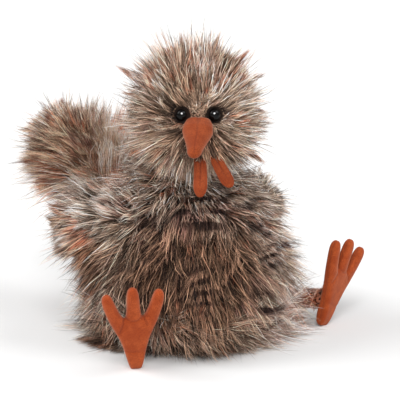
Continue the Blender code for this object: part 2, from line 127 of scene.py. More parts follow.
# Room that hair leaves about a foot: half width by height in millimetres, heights, and behind and before
FOOT_ROOM = ((0, 7), (28, 15), (41, 21), (62, 27))
FOOT_HEIGHTS = (-3 * MM, 69 * MM)
FOOT_REACH = (-12 * MM, 7.5 * MM)
# Room beside and behind an eye, and beside, behind and below a wattle
EYE_ROOM = (0.4 * MM, 1.5 * MM)
WATTLE_ROOM = (1.2 * MM, 2.6 * MM, 3 * MM)
# Heights in the face's frame: above the beak's tip and below its root, and where hair ends over a wattle
BEAK_BARE = (2 * MM, -2 * MM)
WATTLE_CLEAR = -29 * MM
WATTLE_RAGGED = (-1, 5)  # millimetres that this edge wanders downwards
WATTLE_COVER = (4 * MM, 8 * MM, 3.2 * MM)  # reach above and behind of the hair over it, and how far before it
FLOOR_ROOM = (0.4 * MM, 2.5)  # least height of hair, and the millimetres that it wanders above that

# Camera, fitted to the picture: degrees, and pixels of a 400 pixel frame
CAMERA_AZIMUTH, CAMERA_ELEVATION = -33.5, 16
CAMERA_DISTANCE = 1500 * MM
CAMERA_AIM = mm(0, 0, 90)
CAMERA_OFFSET = (9.84 * MM, 1.92 * MM)
FRAME_PIXELS = 400
FOCAL_PIXELS = 2172.9
SENSOR = 36
# Suns: azimuth, elevation, strength and softness in degrees. The last lights the eyes alone
SUNS = {"left": (-125, 42, 1.75, 35), "right": (55, 54, 1.1, 35), "front": (-34, 46, 1.4, 28),
        "fill": (-30, 12, 0.7, 100), "catch": (-34, 45, 18, 36)}
WORLD_STRENGTH = 0.42
FLOOR_SHADES = (0.77, 0.79)

STATIONS = np.array((0, 0.38, 0.72, 1.0))
STRAND_WIDTH = 0.35 * MM
STRAND_TAPER = np.array((0.7, 1.0, 0.72))
STRAND_ROLL = 1.1
# Locks and the tufts in them: spacing in tufts, turn in radians, tilt in degrees, share of length, pull
LOCK_LEVELS = ((2.8, 0.16, 5, 0.26, 0.45), (1.0, 0.12, 7, 0.2, 0.45), (0.42, 0.1, 6, 0.1, 0.62))
GOLDEN = (math.sqrt(5) - 1) / 2
SEED_TURN = 0.37
ROOT_JITTER = 0.4
ROOT_SINK = 0.8 * MM
LENGTHS = (0.3, 0.78, 1.35, 2.5)  # least share of the full length, spread above it, and its two powers
SWIRL = (18 * MM, 0.22, 0.1)  # size of its patches, radians that they turn and that strands turn
LIFT = (12 * MM, 6, 5)  # the same in degrees
BEND = 0.12
STRAYS = (0.06, 1.1, 10, 0.15)  # share of the strands, more length, lift in degrees, share of the pull
PULL_SHAPE = np.array((0, 0.22, 0.62, 1.0))
SPIKE_LENGTHS = (0.72, 1)
SPIKE_PULL = 0.94
FRIZZ = np.array((0, 0.12, 0.35, 0.7))[:, None] * MM
STREAKS = (0.7, 0.3, 1.25, 1.35)  # shares that tufts and strands give, and the strands' two powers
SPIKE_EDGE = (0.6, 1)  # shares of a spike's radius between which fewer strands join it
LEANS = (2, 88)  # least and most lean off the normal, in degrees
PATCH = 0.003  # size on the unwrap of the patch that a strand's texture takes
# A strand's mesh: its points by their place across, and the corners and the starts of its three faces
STRAND_SIDES = np.array((0, 1, 0, 1, 0, 1, 0.5))
STRAND_CORNERS = np.array((0, 1, 3, 2, 2, 3, 5, 4, 4, 5, 6))
STRAND_STARTS = np.array((0, 4, 8))
STRAND_POINTS = len(STRAND_SIDES)

# Coats: pieces, strands in each and first seed. Head, torso and tail are split to keep the pieces small
COATS = (("head", "ab", 37500, 10), ("torso", "abc", 38000, 20), ("tail", "ab", 24000, 30))
WING_COAT = (30000, 40)
LEG_COAT = (7000, 44)
# Head coat by the angle from the face's middle: length, and lean off the normal at the root and at the tip
HEAD_LENGTHS = ((12, 7), (22, 12), (34, 22), (50, 31), (80, 34), (180, 35))
HEAD_LEANS = ((15, 74, 84), (35, 66, 80), (55, 54, 72), (75, 34, 56), (95, 18, 42), (180, 24, 56))
# Tail coat by the place along the tail from -1 to 1, in the same way, and its fluffed lower side
TAIL_LENGTHS = ((-1, 40), (0, 38), (1, 30))
TAIL_LEANS = ((-1, 36, 62), (0.4, 28, 54), (1, 4, 16))
TAIL_LOWER = Vector((-0.76, 0.30, -0.58))
LEG_PILE = (10 * MM, 52, 82)

EYE_PAINTED_SHADE = (4.6 * MM, 6.8 * MM)  # distances from an eye's axis over which the ring of painted shade round it fades
EYE_PAINTED_SHADE_REACH = 40 * MM  # from the head's centre
BEAK_PAINTED_SHADE = (0.3, 11 * MM, 19 * MM, 0.5)  # ring of painted shade about the beak: place along the beak, distances over which it fades, and amount
RUSTY = (0.07, 0.6, 0.1)  # share of the tufts outside the patches, and what patches and drift add
# Patches on the roots: place and radius in millimetres of the toy's frame, and amount. Dark patches darken
# the breast, belly, tail, crown and leg, partly as painted shade on the breast under the head and in the
# crevice under the right wing. Pale patches lighten the pile, partly as painted light on the toy's left flank
# and head and in the shaded gap between head and tail.
DARK_PATCHES = (
    (-28, -48, 66, 62, 0.96), (-22, -50, 30, 40, 0.5), (-38, 85, 116, 27, 0.65), (-24, -18, 152, 20, 0.4),
    (-16, -18, 176, 15, 0.4), (-23, -22, 141, 12, 0.5), (-5, -36, 143, 9, 0.6), (-56, 14, 60, 26, 0.9),
    (-66, 4, 66, 16, 0.7), (72, -38, 18, 24, 0.15),
)
RUST_PATCHES = (
    (-10, -15, 187, 14, 0.3), (14, -38, 143, 12, 0.3), (-31, -12, 142, 8, 0.25), (-43, 91, 95, 23, 0.95),
    (-35, 88, 125, 14, 0.4), (8, -62, 30, 14, 0.6), (-3, -58, 82, 14, 0.6), (-72, 2, 92, 18, 0.6),
    (72, -40, 18, 24, 1),
)
PALE_PATCHES = (
    (-58, 6, 92, 36, 0.35), (-24, 54, 127, 30, 1), (-50, 95, 90, 24, 0.6), (45, -38, 75, 40, 1),
    (52, -30, 62, 36, 2), (40, 12, 60, 40, 1.2), (-25, -30, 135, 18, 0.7), (1, -10, 155, 62, 0.85),
    (28, -8, 152, 26, 2), (-15, -28, 126, 24, 2.4), (-10, 6, 184, 20, 2), (-24, 89, 105, 60, 1.25),
    (-18, 60, 116, 40, 3), (-30, 30, 108, 30, 2.2), (20, -52, 22, 48, 1.1),
)
# Places on the coat's surface, whatever the root, that are darkened: painted shade in the crevice under the
# right wing and beside the beak, and darker locks on the crown, tail, right wing and on the floor at the
# right
SHADE_PATCHES = (
    (-78, 0, 64, 24, 0.9), (-20, -25, 179, 22, 0.6), (-29, -24, 137, 18, 0.5), (-9, -43, 139, 16, 0.8),
    (-50, 74, 130, 38, 0.75), (-80, -6, 4, 26, 0.8), (-86, 36, 88, 22, 0.6), (17, -26, 197, 20, 0.5),
)
# Places on the coat's surface, whatever the root, lightened as painted light
GLOW_PATCHES = (
    (32, -31, 158, 30, 1.3), (-14, -77, 34, 22, 0.8), (-37, 14, 137, 24, 1.2), (68, -40, 18, 26, 1.6),
)
# Groups of painted shadow bars, the shade between rows of tufts, on the coat's surface, and how far apart the
# bars are
SHADOW_BAR_PATCHES = (
    (39, -51, 64, 38, 1), (29, -50, 86, 26, 1), (18, -64, 26, 28, 1), (-15, -50, 102, 30, 1),
    (-30, -58, 50, 24, 0.9), (-58, -32, 58, 22, 0.7), (10, 62, 45, 44, 0.8), (62, 20, 60, 28, 0.8),
    (-46, 64, 124, 20, 0.5),
)
SHADOW_BAR_SPACING = 8.5 * MM
# Pointed tufts that stand out of the pile: root, tip and radius gathered, in millimetres of the toy's frame
HEAD_SPIKES = (
    ((-18, 7, 170), (-41, 29, 188), 4), ((-22, 7, 163), (-40, 22, 170), 3),
    ((-8, 4, 179), (-18, 18, 203), 3.5), ((1, -1, 183), (1, 9, 211), 3), ((12, -9, 182), (25, -7, 212), 3),
    ((20, -16, 177), (41, -22, 200), 4), ((24, -21, 169), (47, -32, 183), 4),
    ((26, -27, 156), (43, -38, 156), 3), ((18, -28, 138), (37, -47, 121), 4),
    ((-22, 0, 140), (-44, 9, 126), 4), ((-14, 12, 176), (-30, 34, 199), 3.5),
    ((20, 8, 174), (38, 22, 196), 3.5), ((-4, 18, 172), (-6, 46, 190), 3.5),
)
TAIL_SPIKES = (
    ((-39, 103, 119), (-59, 121, 139), 3.5), ((-44, 103, 108), (-66, 118, 112), 3.5),
    ((-45, 100, 98), (-69, 113, 90), 3.5), ((-30, 100, 126), (-37, 113, 151), 3.5),
    ((-35, 102, 122), (-51, 119, 147), 3.5), ((-12, 100, 122), (-6, 115, 147), 3.5),
)
TORSO_SPIKES = (
    ((-50, 8, 5), (-88, 13, 4), 6), ((-51, 1, 6), (-89, 4, 5), 6), ((-51, -4, 4), (-86, -4, 2), 6),
    ((-50, -9, 5), (-82, -13, 3), 6), ((-49, -15, 4), (-76, -21, 2), 6),
)
WING_SPIKES = (
    ((-65, 21, 84), (-90, 38, 95), 5), ((-68, 23, 78), (-92, 38, 88), 5),
    ((-68.5, 27, 75), (-90, 35, 81), 5),
)


def linear(r, g, b):
    """A colour given as 0 to 255 screen values, as the shader needs it."""
    return (*((c / 12.92 if c <= 0.04045 else ((c + 0.055) / 1.055) ** 2.4)
              for c in (r / 255, g / 255, b / 255)), 1)


# Colours of the brindled pile, from the backing outwards. Stops run from one clump's hue to another's
ROOT_DARK = linear(26, 15, 11)
ROOT_PALE = linear(156, 126, 110)
MID_STOPS = ((0.0, linear(98, 68, 55)), (0.3, linear(146, 121, 99)), (0.55, linear(166, 144, 121)),
             (0.8, linear(192, 147, 138)), (1.0, linear(208, 168, 156)))
TIP_STOPS = ((0.0, linear(220, 191, 178)), (0.5, linear(242, 219, 205)), (1.0, linear(248, 227, 217)))
BREAST_TIP = linear(200, 165, 140)
BREAST_WARMTH = (0.92, 0.735, 0.64, 1)
RUST_MIDDLE = linear(164, 94, 66)
RUST_TIP = linear(220, 156, 128)
# Colour of the painted shadow bars between rows of tufts
SHADOW_BAR_DARK = linear(48, 27, 25)
# Suedette: plain, lighter and darker nap, and the painted shade of its sewn lines and creases
SUEDE_COLOURS = (linear(152, 64, 24), linear(172, 80, 36), linear(118, 44, 16), linear(96, 34, 18))
SUEDE_SHEEN = (1.0, 0.62, 0.45, 1)
SUEDE_TONES = (0.86, 1.2)  # of the face and of the feet: two copies of one cloth, toned as painted light for how the lamps fall on each
EYE_BLACKS = ((0.0004, 0.0004, 0.0004, 1), (0.001, 0.0008, 0.0008, 1))
# Shares of the pile's length over which the root's colour, the painted shadow bars and the pale tips come in
ROOT_SPAN = (0.04, 0.4)
SHADOW_BAR_SPAN = (0.2, 0.35)
TIP_SPAN = (0.28, 0.7)
# Streak values between which strands get pale tips, get lighter, and stay out of the dark mark, which is dye
# in places and painted shade in others
PALE_STREAKS = (0.2, 0.65)
LIGHT_STREAKS = (0.27, 0.66)
SPARED_STREAKS = (0.44, 0.74)
SPARED_SHARE = 0.92
SKIN_ALONG = 0.22  # where on the pile the skin takes its colour
# Share of the pale streaks taken out in the painted shade round the eyes
EYE_STREAK_LOSS = 0.8


# Directions and places


def direction(azimuth, elevation):
    a, e = math.radians(azimuth), math.radians(elevation)
    return Vector((math.sin(a) * math.cos(e), -math.cos(a) * math.cos(e), math.sin(e)))


def sideways(azimuth):
    a = math.radians(azimuth)
    return Vector((math.cos(a), math.sin(a), 0))


FACE_FORWARD = direction(FACE_AZIMUTH, FACE_ELEVATION)
FACE_LEFT = sideways(FACE_AZIMUTH)
FACE_UP = FACE_FORWARD.cross(FACE_LEFT)
FACE_BASIS = np.array((FACE_FORWARD, FACE_LEFT, FACE_UP))


def face_vector(place):
    return FACE_FORWARD * place[0] + FACE_LEFT * place[1] + FACE_UP * place[2]


def face_point(place):
    return HEAD_CENTRE + face_vector(place)


def eye_place(side):
    return EYE_MIDDLE + Vector((0, EYE_SPREAD * side, 0))


def in_face_frame(points):
    """Forward, left and up of points, from the head's centre."""
    return (points - np.array(HEAD_CENTRE)) @ FACE_BASIS.T


def eye_gaps(places):
    """How far places in the face's frame are from each eye's axis."""
    return [size_of(places[..., 1:] - np.array(eye_place(side))[1:]) for _, side in SIDES]


def mirrored(vector, side):
    return Vector((vector.x * side, vector.y, vector.z))


def turn_to(long_axis, across):
    z = long_axis.normalized()
    x = (across - z * across.dot(z)).normalized()
    return Matrix((x, z.cross(x), z)).transposed()


def foot_matrix(side_name, side):
    splay, lean, roll = (math.radians(angle) for angle in FOOT_POSE[side_name])
    return (Matrix.Translation(mirrored(FOOT_HEEL[side_name], side))
            @ Matrix.Rotation(splay * side, 4, "Z")
            @ Matrix.Rotation(lean, 4, "X")
            @ Matrix.Rotation(roll * side, 4, "Y"))


def leg_ends(side_name, side):
    return mirrored(HIP, side), foot_matrix(side_name, side) @ Vector((0, 0, LEG_ON_FOOT))


def smooth(low, high, value):
    t = np.clip((value - low) / (high - low), 0, 1)
    return t * t * (3 - 2 * t)


def bell(gap, width):
    return np.exp(-(gap / width) ** 2)


def at(value, rows, column=1):
    """A column of a table, read off at a value of its first column."""
    columns = list(zip(*rows))
    return np.interp(value, columns[0], columns[column])


def size_of(a):
    return np.linalg.norm(a, axis=-1)


def unit(a):
    return a / np.maximum(size_of(a)[..., None], 1e-9)


def dot(a, b):
    return (a * b).sum(-1, keepdims=True)


def tangent(a, normal):
    return unit(a - normal * dot(a, normal))


def bowed(start, bend, end, s):
    """A point of a bowed line, and the direction back along it."""
    first, second = start + (bend - start) * s, bend + (end - bend) * s
    return first + (second - first) * s, first - second


def circle(count):
    angle = 2 * np.pi * np.arange(count) / count
    return np.cos(angle), np.sin(angle)


def ring_at(radius, height, count, turn, centre):
    """A ring of points about a turned axis."""
    c, s = circle(count)
    points = np.stack((radius * c, radius * s, np.full(count, height)), -1)
    return points @ np.array(turn).T + np.array(centre)


# Meshes


def new_object(name, mesh, material):
    obj = bpy.data.objects.new(name, mesh)
    bpy.context.scene.collection.objects.link(obj)
    obj.data.materials.append(material)
    return obj


def object_from_bm(name, bm, material):
    bmesh.ops.recalc_face_normals(bm, faces=bm.faces)
    mesh = bpy.data.meshes.new(name)
    bm.to_mesh(mesh)
    bm.free()
    mesh.shade_smooth()
    return new_object(name, mesh, material)


def add_rings(bm, rings):
    loops = [[bm.verts.new(point) for point in ring] for ring in rings]
    count = len(rings[0])
    for lower, upper in zip(loops, loops[1:]):
        for i in range(count):
            bm.faces.new((lower[i], lower[(i + 1) % count], upper[(i + 1) % count], upper[i]))
    bm.faces.new(loops[0])
    bm.faces.new(loops[-1])


def ringed_object(name, rings, material, groove_shades=None):
    """A closed piece through rings. Groove shades are how much painted shade darkens its sewn lines at each
    point.
    """
    bm = bmesh.new()
    add_rings(bm, rings)
    obj = object_from_bm(name, bm, material)
    if groove_shades:
        set_values(obj.data, {"groove_shade": groove_shades})
    return obj


def modify(obj, kind, **settings):
    modifier = obj.modifiers.new(kind, kind)
    for key, value in settings.items():
        setattr(modifier, key, value)


def apply_modifiers(obj):
    bpy.context.view_layer.update()
    depsgraph = bpy.context.evaluated_depsgraph_get()
    mesh = bpy.data.meshes.new_from_object(obj.evaluated_get(depsgraph))
    obj.modifiers.clear()
    obj.data = mesh
    mesh.shade_smooth()


def vertex_array(mesh, what="co"):
    values = np.zeros(len(mesh.vertices) * 3, np.float32)
    mesh.vertices.foreach_get(what, values)
    return values.reshape(-1, 3).astype(float)


def set_vertices(mesh, points):
    mesh.vertices.foreach_set("co", points.astype(np.float32).ravel())
    mesh.update()


def set_values(mesh, values_of):
    """Keeps a value for each point, for the materials to read."""
    for key, values in values_of.items():
        data = mesh.attributes.new(key, "FLOAT", "POINT").data
        data.foreach_set("value", np.ravel(values).astype(np.float32))


def finish_piece(obj, nodes=()):
    """Moves a piece made in the toy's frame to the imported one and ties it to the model."""
    set_vertices(obj.data, vertex_array(obj.data) + np.array(SHIFT))
    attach(obj, "root")
    if nodes:
        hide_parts(*nodes)


# Materials


class Nodes:
    """A short way to write a material's nodes."""

    def __init__(self, name):
        self.material = bpy.data.materials.new(name)
        self.material.use_nodes = True
        self.tree = self.material.node_tree

    def add(self, kind, values=None, **settings):
        node = self.tree.nodes.new(kind)
        for key, value in settings.items():
            setattr(node, key, value)
        for key, value in (values or {}).items():
            self.plug(node.inputs[key], value)
        return node

    def plug(self, socket, value):
        if isinstance(value, bpy.types.NodeSocket):
            self.tree.links.new(value, socket)
        else:
            socket.default_value = value

    def shade(self, values):
        """Fills the shader's sockets and gives the material."""
        for key, value in values.items():
            self.plug(self.tree.nodes["Principled BSDF"].inputs[key], value)
        return self.material

    def here(self):
        return self.add("ShaderNodeTexCoord").outputs["Object"]

    def math(self, operation, a, b=0.0, c=0.0, clamp=False):
        node = self.add("ShaderNodeMath", {0: a, 1: b, 2: c}, operation=operation, use_clamp=clamp)
        return node.outputs[0]

    def times(self, a, b, clamp=False):
        return self.math("MULTIPLY", a, b, clamp=clamp)

    def times_add(self, a, b, c):
        return self.math("MULTIPLY_ADD", a, b, c)

    def between(self, value, low, high, smooth_step=True):
        """The value's place from low to high, from 0 to 1."""
        kind = "SMOOTHSTEP" if smooth_step else "LINEAR"
        node = self.add("ShaderNodeMapRange", {"Value": value, "From Min": low, "From Max": high},
                        interpolation_type=kind)
        return node.outputs["Result"]

    def noise(self, vector, scale, detail=2.0, roughness=0.5):
        node = self.add("ShaderNodeTexNoise", {"Vector": vector, "Scale": scale, "Detail": detail,
                                               "Roughness": roughness})
        return node.outputs["Fac"]

    def ramp(self, value, stops):
        node = self.add("ShaderNodeValToRGB", {"Fac": value})
        elements = node.color_ramp.elements
        while len(elements) < len(stops):
            elements.new(0.5)
        for element, (place, colour) in zip(elements, stops):
            element.position = place
            element.color = colour
        return node.outputs["Color"]

    def mix(self, factor, a, b, blend="MIX", clamp=False):
        node = self.add("ShaderNodeMix", {"Factor": factor, "A": a, "B": b}, data_type="RGBA",
                        blend_type=blend, clamp_result=clamp)
        return node.outputs["Result"]

    def attribute(self, name, output="Fac"):
        node = self.add("ShaderNodeAttribute", attribute_type="GEOMETRY", attribute_name=name)
        return node.outputs[output]

    def bump(self, height, strength, distance):
        values = {"Height": height, "Strength": strength, "Distance": distance}
        return self.add("ShaderNodeBump", values).outputs["Normal"]


def shadow_bar_share(nodes, spot, along):
    """How much of a painted shadow bar, the shade between rows of tufts, a spot has. Bars lie level but
    waver, and have gaps.
    """
    height = nodes.add("ShaderNodeSeparateXYZ", {0: spot}).outputs[2]
    height = nodes.times_add(nodes.noise(spot, 20, 1.0), 0.03, height)
    wave = nodes.math("SINE", nodes.times(height, 2 * math.pi / SHADOW_BAR_SPACING))
    gaps = nodes.between(nodes.noise(spot, 75, 1.0), 0.37, 0.45)
    return nodes.times(nodes.times(nodes.between(wave, -0.1, 0.4), gaps), nodes.between(along, *SHADOW_BAR_SPAN))


def marked_colour(nodes, place, spot, along, streak, clump, dark, rust, pale, bars):
    """The coat's colour: patches of hue by the root's place, painted shadow bars by the spot's, dark roots
    and pale tips. The dark and pale marks are dye in places and painted shade and painted light in others.
    """
    times, times_add = nodes.times, nodes.times_add
    patches = nodes.between(nodes.noise(place, 38, 2.0, 0.6), 0.36, 0.66, False)
    hue = nodes.math("ADD", times(patches, 0.5), times(clump, 0.5), clamp=True)
    middle = nodes.mix(rust, nodes.ramp(hue, MID_STOPS), RUST_MIDDLE)
    tip = nodes.mix(times(dark, 1.2, clamp=True), nodes.ramp(hue, TIP_STOPS), BREAST_TIP)
    tip = nodes.mix(times(rust, 0.8), tip, RUST_TIP)
    root = nodes.mix(times(pale, 0.5, clamp=True), ROOT_DARK, ROOT_PALE)
    colour = nodes.mix(nodes.between(along, *ROOT_SPAN), root, middle)
    tipped = times(nodes.between(along, *TIP_SPAN), nodes.between(streak, *PALE_STREAKS, False))
    colour = nodes.mix(tipped, colour, tip)
    # Painted shadow bars darken the outer part of the strands
    colour = nodes.mix(times(shadow_bar_share(nodes, spot, along), bars), colour, SHADOW_BAR_DARK)
    # Each strand's own lightness, raised by the pale mark, which is paler pile in places and painted light in
    # others, and fine ticks along it
    light = times_add(nodes.between(streak, *LIGHT_STREAKS), 1.5, 0.05)
    light = times_add(pale, 0.5, times(light, times_add(pale, -0.1, 1.0)))
    ticks = {0: times(along, 4.5), 1: times(streak, 70), 2: times(clump, 70)}
    ticks = nodes.noise(nodes.add("ShaderNodeCombineXYZ", ticks).outputs[0], 1.0, 0.0)
    light = times(light, times_add(nodes.between(ticks, 0.36, 0.56), 0.65, 0.55))
    grey = nodes.add("ShaderNodeCombineColor", {0: light, 1: light, 2: light}).outputs[0]
    colour = nodes.mix(1.0, colour, grey, "MULTIPLY", clamp=True)
    # The dark mark, dye in places and painted shade in others, warms the colour and darkens it towards the
    # roots' colour, sparing the most streaked strands
    colour = nodes.mix(times(dark, 0.9, clamp=True), colour, BREAST_WARMTH, "MULTIPLY")
    spared = times_add(nodes.between(streak, *SPARED_STREAKS), -SPARED_SHARE, 1.0)
    return nodes.mix(times(dark, spared), colour, ROOT_DARK)


def fur_material():
    nodes = Nodes("fur_strands")
    marks = {key: nodes.attribute("fur_" + key)
             for key in ("along", "streak", "clump", "dark", "rust", "pale", "bars")}
    return nodes.shade({
        "Base Color": marked_colour(nodes, nodes.attribute("fur_root", "Vector"), nodes.here(), **marks),
        "Roughness": nodes.times_add(marks["dark"], -0.1, 0.72),
        "Specular IOR Level": 0.18, "Sheen Weight": 0.06, "Sheen Roughness": 0.4,
    })


def skin_material():
    """The knitted backing that shows only between the roots, with no pale knit in the painted shade round the
    eyes.
    """
    nodes = Nodes("fur_backing")
    place = nodes.here()
    knit = nodes.noise(place, 900, 2.0, 0.6)
    marks = {key: nodes.attribute("fur_" + key) for key in ("dark", "rust", "pale", "bars")}
    # The pale knit gives way to the painted shade round the eyes
    shown = nodes.times_add(nodes.attribute("fur_eye_shade"), -0.9, 1.0)
    streak = nodes.times(nodes.between(knit, 0.3, 0.7), shown)
    return nodes.shade({
        "Base Color": marked_colour(nodes, place, place, SKIN_ALONG, streak, 0.5, **marks),
        "Roughness": nodes.times_add(knit, 0.1, 0.85),
        "Specular IOR Level": 0.15,
        "Normal": nodes.bump(knit, 0.5, 0.4 * MM),
    })


def suedette_material(name, tone):
    """Short-napped suedette: cloudy brushed nap, a fine grain, a soft sheen and painted shade in its sewn
    lines and creases.
    """
    nodes = Nodes(name)
    place = nodes.here()
    clouds = nodes.noise(place, 120, 3.0, 0.55)
    grain = nodes.noise(place, 2600, 2.0, 0.7)
    plain, light, shade, groove_shade = ((*(c * tone for c in colour[:3]), 1) for colour in SUEDE_COLOURS)
    colour = nodes.mix(nodes.between(clouds, 0.38, 0.62), plain, light)
    colour = nodes.mix(nodes.between(grain, 0.62, 0.38), colour, shade)
    # Sewn lines and creases take painted shade
    return nodes.shade({
        "Base Color": nodes.mix(nodes.attribute("groove_shade"), colour, groove_shade),
        "Roughness": nodes.times_add(grain, 0.12, 0.82),
        "Specular IOR Level": 0.2, "Sheen Weight": 0.35, "Sheen Roughness": 0.45, "Sheen Tint": SUEDE_SHEEN,
        "Normal": nodes.bump(grain, 0.35, 0.2 * MM),
    })


def eye_material():
    nodes = Nodes("black_plastic")
    scuffs = nodes.noise(nodes.here(), 700, 3.0, 0.6)
    return nodes.shade({"Base Color": nodes.mix(scuffs, *EYE_BLACKS), "Specular IOR Level": 0.16,
                        "Roughness": nodes.times_add(scuffs, 0.06, 0.05)})


# Forms of revolution that carry the coat


class Turned:
    """A surface turned about an axis, sampled evenly by area. The profile runs from its pole outwards."""

    def __init__(self, centre, turn, radii, heights):
        self.centre, self.turn = np.array(centre), np.array(turn)
        self.radii, self.heights = np.array(radii), np.array(heights)
        steps = np.hypot(np.diff(self.radii), np.diff(self.heights))
        rings = np.pi * (self.radii[1:] + self.radii[:-1]) * steps
        self.share = np.concatenate(([0], np.cumsum(rings)))
        self.area = self.share[-1]
        self.share /= self.area
        self.dr, self.dz = np.gradient(self.radii), np.gradient(self.heights)

    def at(self, around, share):
        """Points, normals and the direction away from the pole, at shares of the turn and of the area."""
        radius, height, dr, dz = (np.interp(share, self.share, values)
                                  for values in (self.radii, self.heights, self.dr, self.dz))
        size = np.hypot(dr, dz)
        dr, dz = dr / size, dz / size
        c, s = np.cos(2 * np.pi * around), np.sin(2 * np.pi * around)
        points, normals, away = (np.stack((out * c, out * s, up), -1) @ self.turn.T
                                 for out, up in ((radius, height), (-dz, dr), (dr, dz)))
        return points + self.centre, normals, away

    def mesh_rings(self, count=48, rings=40):
        """Rings of points for a closed skin."""
        places = np.linspace(0, 1, rings)
        profile = (np.interp(places, np.linspace(0, 1, len(values)), values)
                   for values in (self.radii, self.heights))
        return [ring_at(max(radius, 0.2 * MM), height, count, self.turn, self.centre)
                for radius, height in zip(*profile)]


def torso_form():
    angles = np.linspace(math.pi / 2, -math.asin(TORSO_WAIST_Z / TORSO_LOWER), 90)
    heights = np.where(angles > 0, TORSO_UPPER, TORSO_LOWER) * np.sin(angles) + TORSO_WAIST_Z
    return Turned((0, 0, 0), np.eye(3), TORSO_RADIUS * np.cos(angles), heights)


def head_form():
    angles = np.linspace(0, math.pi, 90)
    radius = FACE_RADIUS + (HEAD_RADIUS - FACE_RADIUS) * smooth(FACE_EDGE, MANE_EDGE, angles)
    turn = turn_to(face_vector(FACE_MIDDLE), FACE_LEFT)
    return Turned(HEAD_CENTRE, turn, radius * np.sin(angles), radius * np.cos(angles))


def egg_form(centre, axis, across, size):
    """An egg whose pole is the tip that the axis points to."""
    angles = np.linspace(0, math.pi, 60)
    return Turned(centre, turn_to(axis, across), size[0] * np.sin(angles), size[1] * np.cos(angles))


def wing_form(side):
    centre, axis, out = (mirrored(vector, side) for vector in (WING_CENTRE, WING_AXIS, WING_OUT))
    return egg_form(centre, axis, out, WING_SKIN)


def leg_form(side_name, side):
    """A tube with a round end whose pole is at the ankle."""
    hip, ankle = leg_ends(side_name, side)
    bend = np.linspace(0, math.pi / 2, 12)
    radii = np.concatenate((LEG_SKIN * np.sin(bend), np.full(20, LEG_SKIN)))
    shaft = np.linspace(-LEG_SKIN, -(ankle - hip).length, 21)[1:]
    heights = np.concatenate((LEG_SKIN * (np.cos(bend) - 1), shaft))
    return Turned(ankle, turn_to(ankle - hip, Vector((0, 0, 1))), radii, heights)


# Skin


def straight_rings(start, end, first, last, count=32, steps=8):
    turn = turn_to(end - start, Vector((0.3, 0.2, 1)))
    return [ring_at(first + (last - first) * s, 0, count, turn, start.lerp(end, s))
            for s in np.linspace(0, 1, steps)]


def make_skin(forms):
    """One sewn skin: every furry form joined, with the neck and the roots of tail and wings."""
    bm = bmesh.new()
    for form in forms.values():
        add_rings(bm, form.mesh_rings())
    add_rings(bm, straight_rings(NECK_START, HEAD_CENTRE, *NECK_TUBE))
    add_rings(bm, straight_rings(TRUNK, TAIL_CENTRE, *TAIL_TUBE))
    for _, side in SIDES:
        add_rings(bm, straight_rings(TRUNK, mirrored(WING_CENTRE, side), *WING_TUBE))
    skin = object_from_bm("skin", bm, skin_material())
    modify(skin, "REMESH", mode="VOXEL", voxel_size=SKIN_VOXEL, use_smooth_shade=True)
    apply_modifiers(skin)
    modify(skin, "SMOOTH", factor=SKIN_RELAX[0], iterations=SKIN_RELAX[1])
    apply_modifiers(skin)
    points = vertex_array(skin.data)
    points[:, 2] = np.maximum(points[:, 2], SKIN_CLEARANCE)
    set_vertices(skin.data, points)
    # Dye, painted shade and painted light on the roots, painted shade round the eyes, and painted shadow bars
    dark, rust, pale = dye_and_painted_light(points)
    eyes = eye_painted_shade(points)
    set_values(skin.data, {"fur_dark": np.maximum(dark, eyes), "fur_rust": rust,
                           "fur_pale": pale * (1 - eyes), "fur_eye_shade": eyes,
                           "fur_bars": patch_share(points, SHADOW_BAR_PATCHES)})
    return skin


# Markings


def patch_share(points, patches):
    """The largest amount that soft round patches give at each point."""
    share = np.zeros(len(points))
    for *centre, radius, amount in patches:
        gap = size_of(points - np.array(centre) * MM) / (radius * MM)
        share = np.maximum(share, amount * (1 - smooth(0.35, 1, gap)))
    return share


def eye_painted_shade(points):
    """How much painted shade the ring round the eyes gives each point, from 0 to 1, by how near the eyes it
    is.
    """
    places = in_face_frame(points)
    near = (places[:, 0] > 0) & (size_of(places) < EYE_PAINTED_SHADE_REACH)
    return (1 - smooth(*EYE_PAINTED_SHADE, np.minimum(*eye_gaps(places)))) * near


def dye_and_painted_light(root):
    """How dark, how rusty and how pale the pile is at each root: dye, with painted shade and painted light in
    some patches, and a ring of painted shade about the beak.
    """
    place, low, high, amount = BEAK_PAINTED_SHADE
    beak = np.array(BEAK_ROOT.lerp(BEAK_TIP, place))
    dark = amount * (1 - smooth(low, high, size_of(in_face_frame(root) - beak)))
    shares = [patch_share(root, patches) for patches in (DARK_PATCHES, RUST_PATCHES, PALE_PATCHES)]
    return np.maximum(dark, shares[0]), shares[1], shares[2]


# Coat


def drift(points, scale, seed):
    """A smooth field from -1 to 1 over space, made of a few waves."""
    rng = np.random.default_rng(seed)
    total = np.zeros(points.shape[:-1])
    for _ in range(5):
        wave = rng.normal(size=3) / scale
        total = total + np.sin(points @ wave * 2 + rng.uniform(0, 2 * np.pi))
    return total / 2.6


def turned_about(vectors, axes, angles):
    angles = angles[:, None]
    return (vectors * np.cos(angles) + np.cross(axes, vectors) * np.sin(angles)
            + axes * dot(axes, vectors) * (1 - np.cos(angles)))


def nearest(points, guides):
    """For each point the number of its nearest guide."""
    tree = KDTree(len(guides))
    for i, guide in enumerate(guides):
        tree.insert(guide, i)
    tree.balance()
    return np.fromiter((tree.find(point)[1] for point in points), int, len(points))


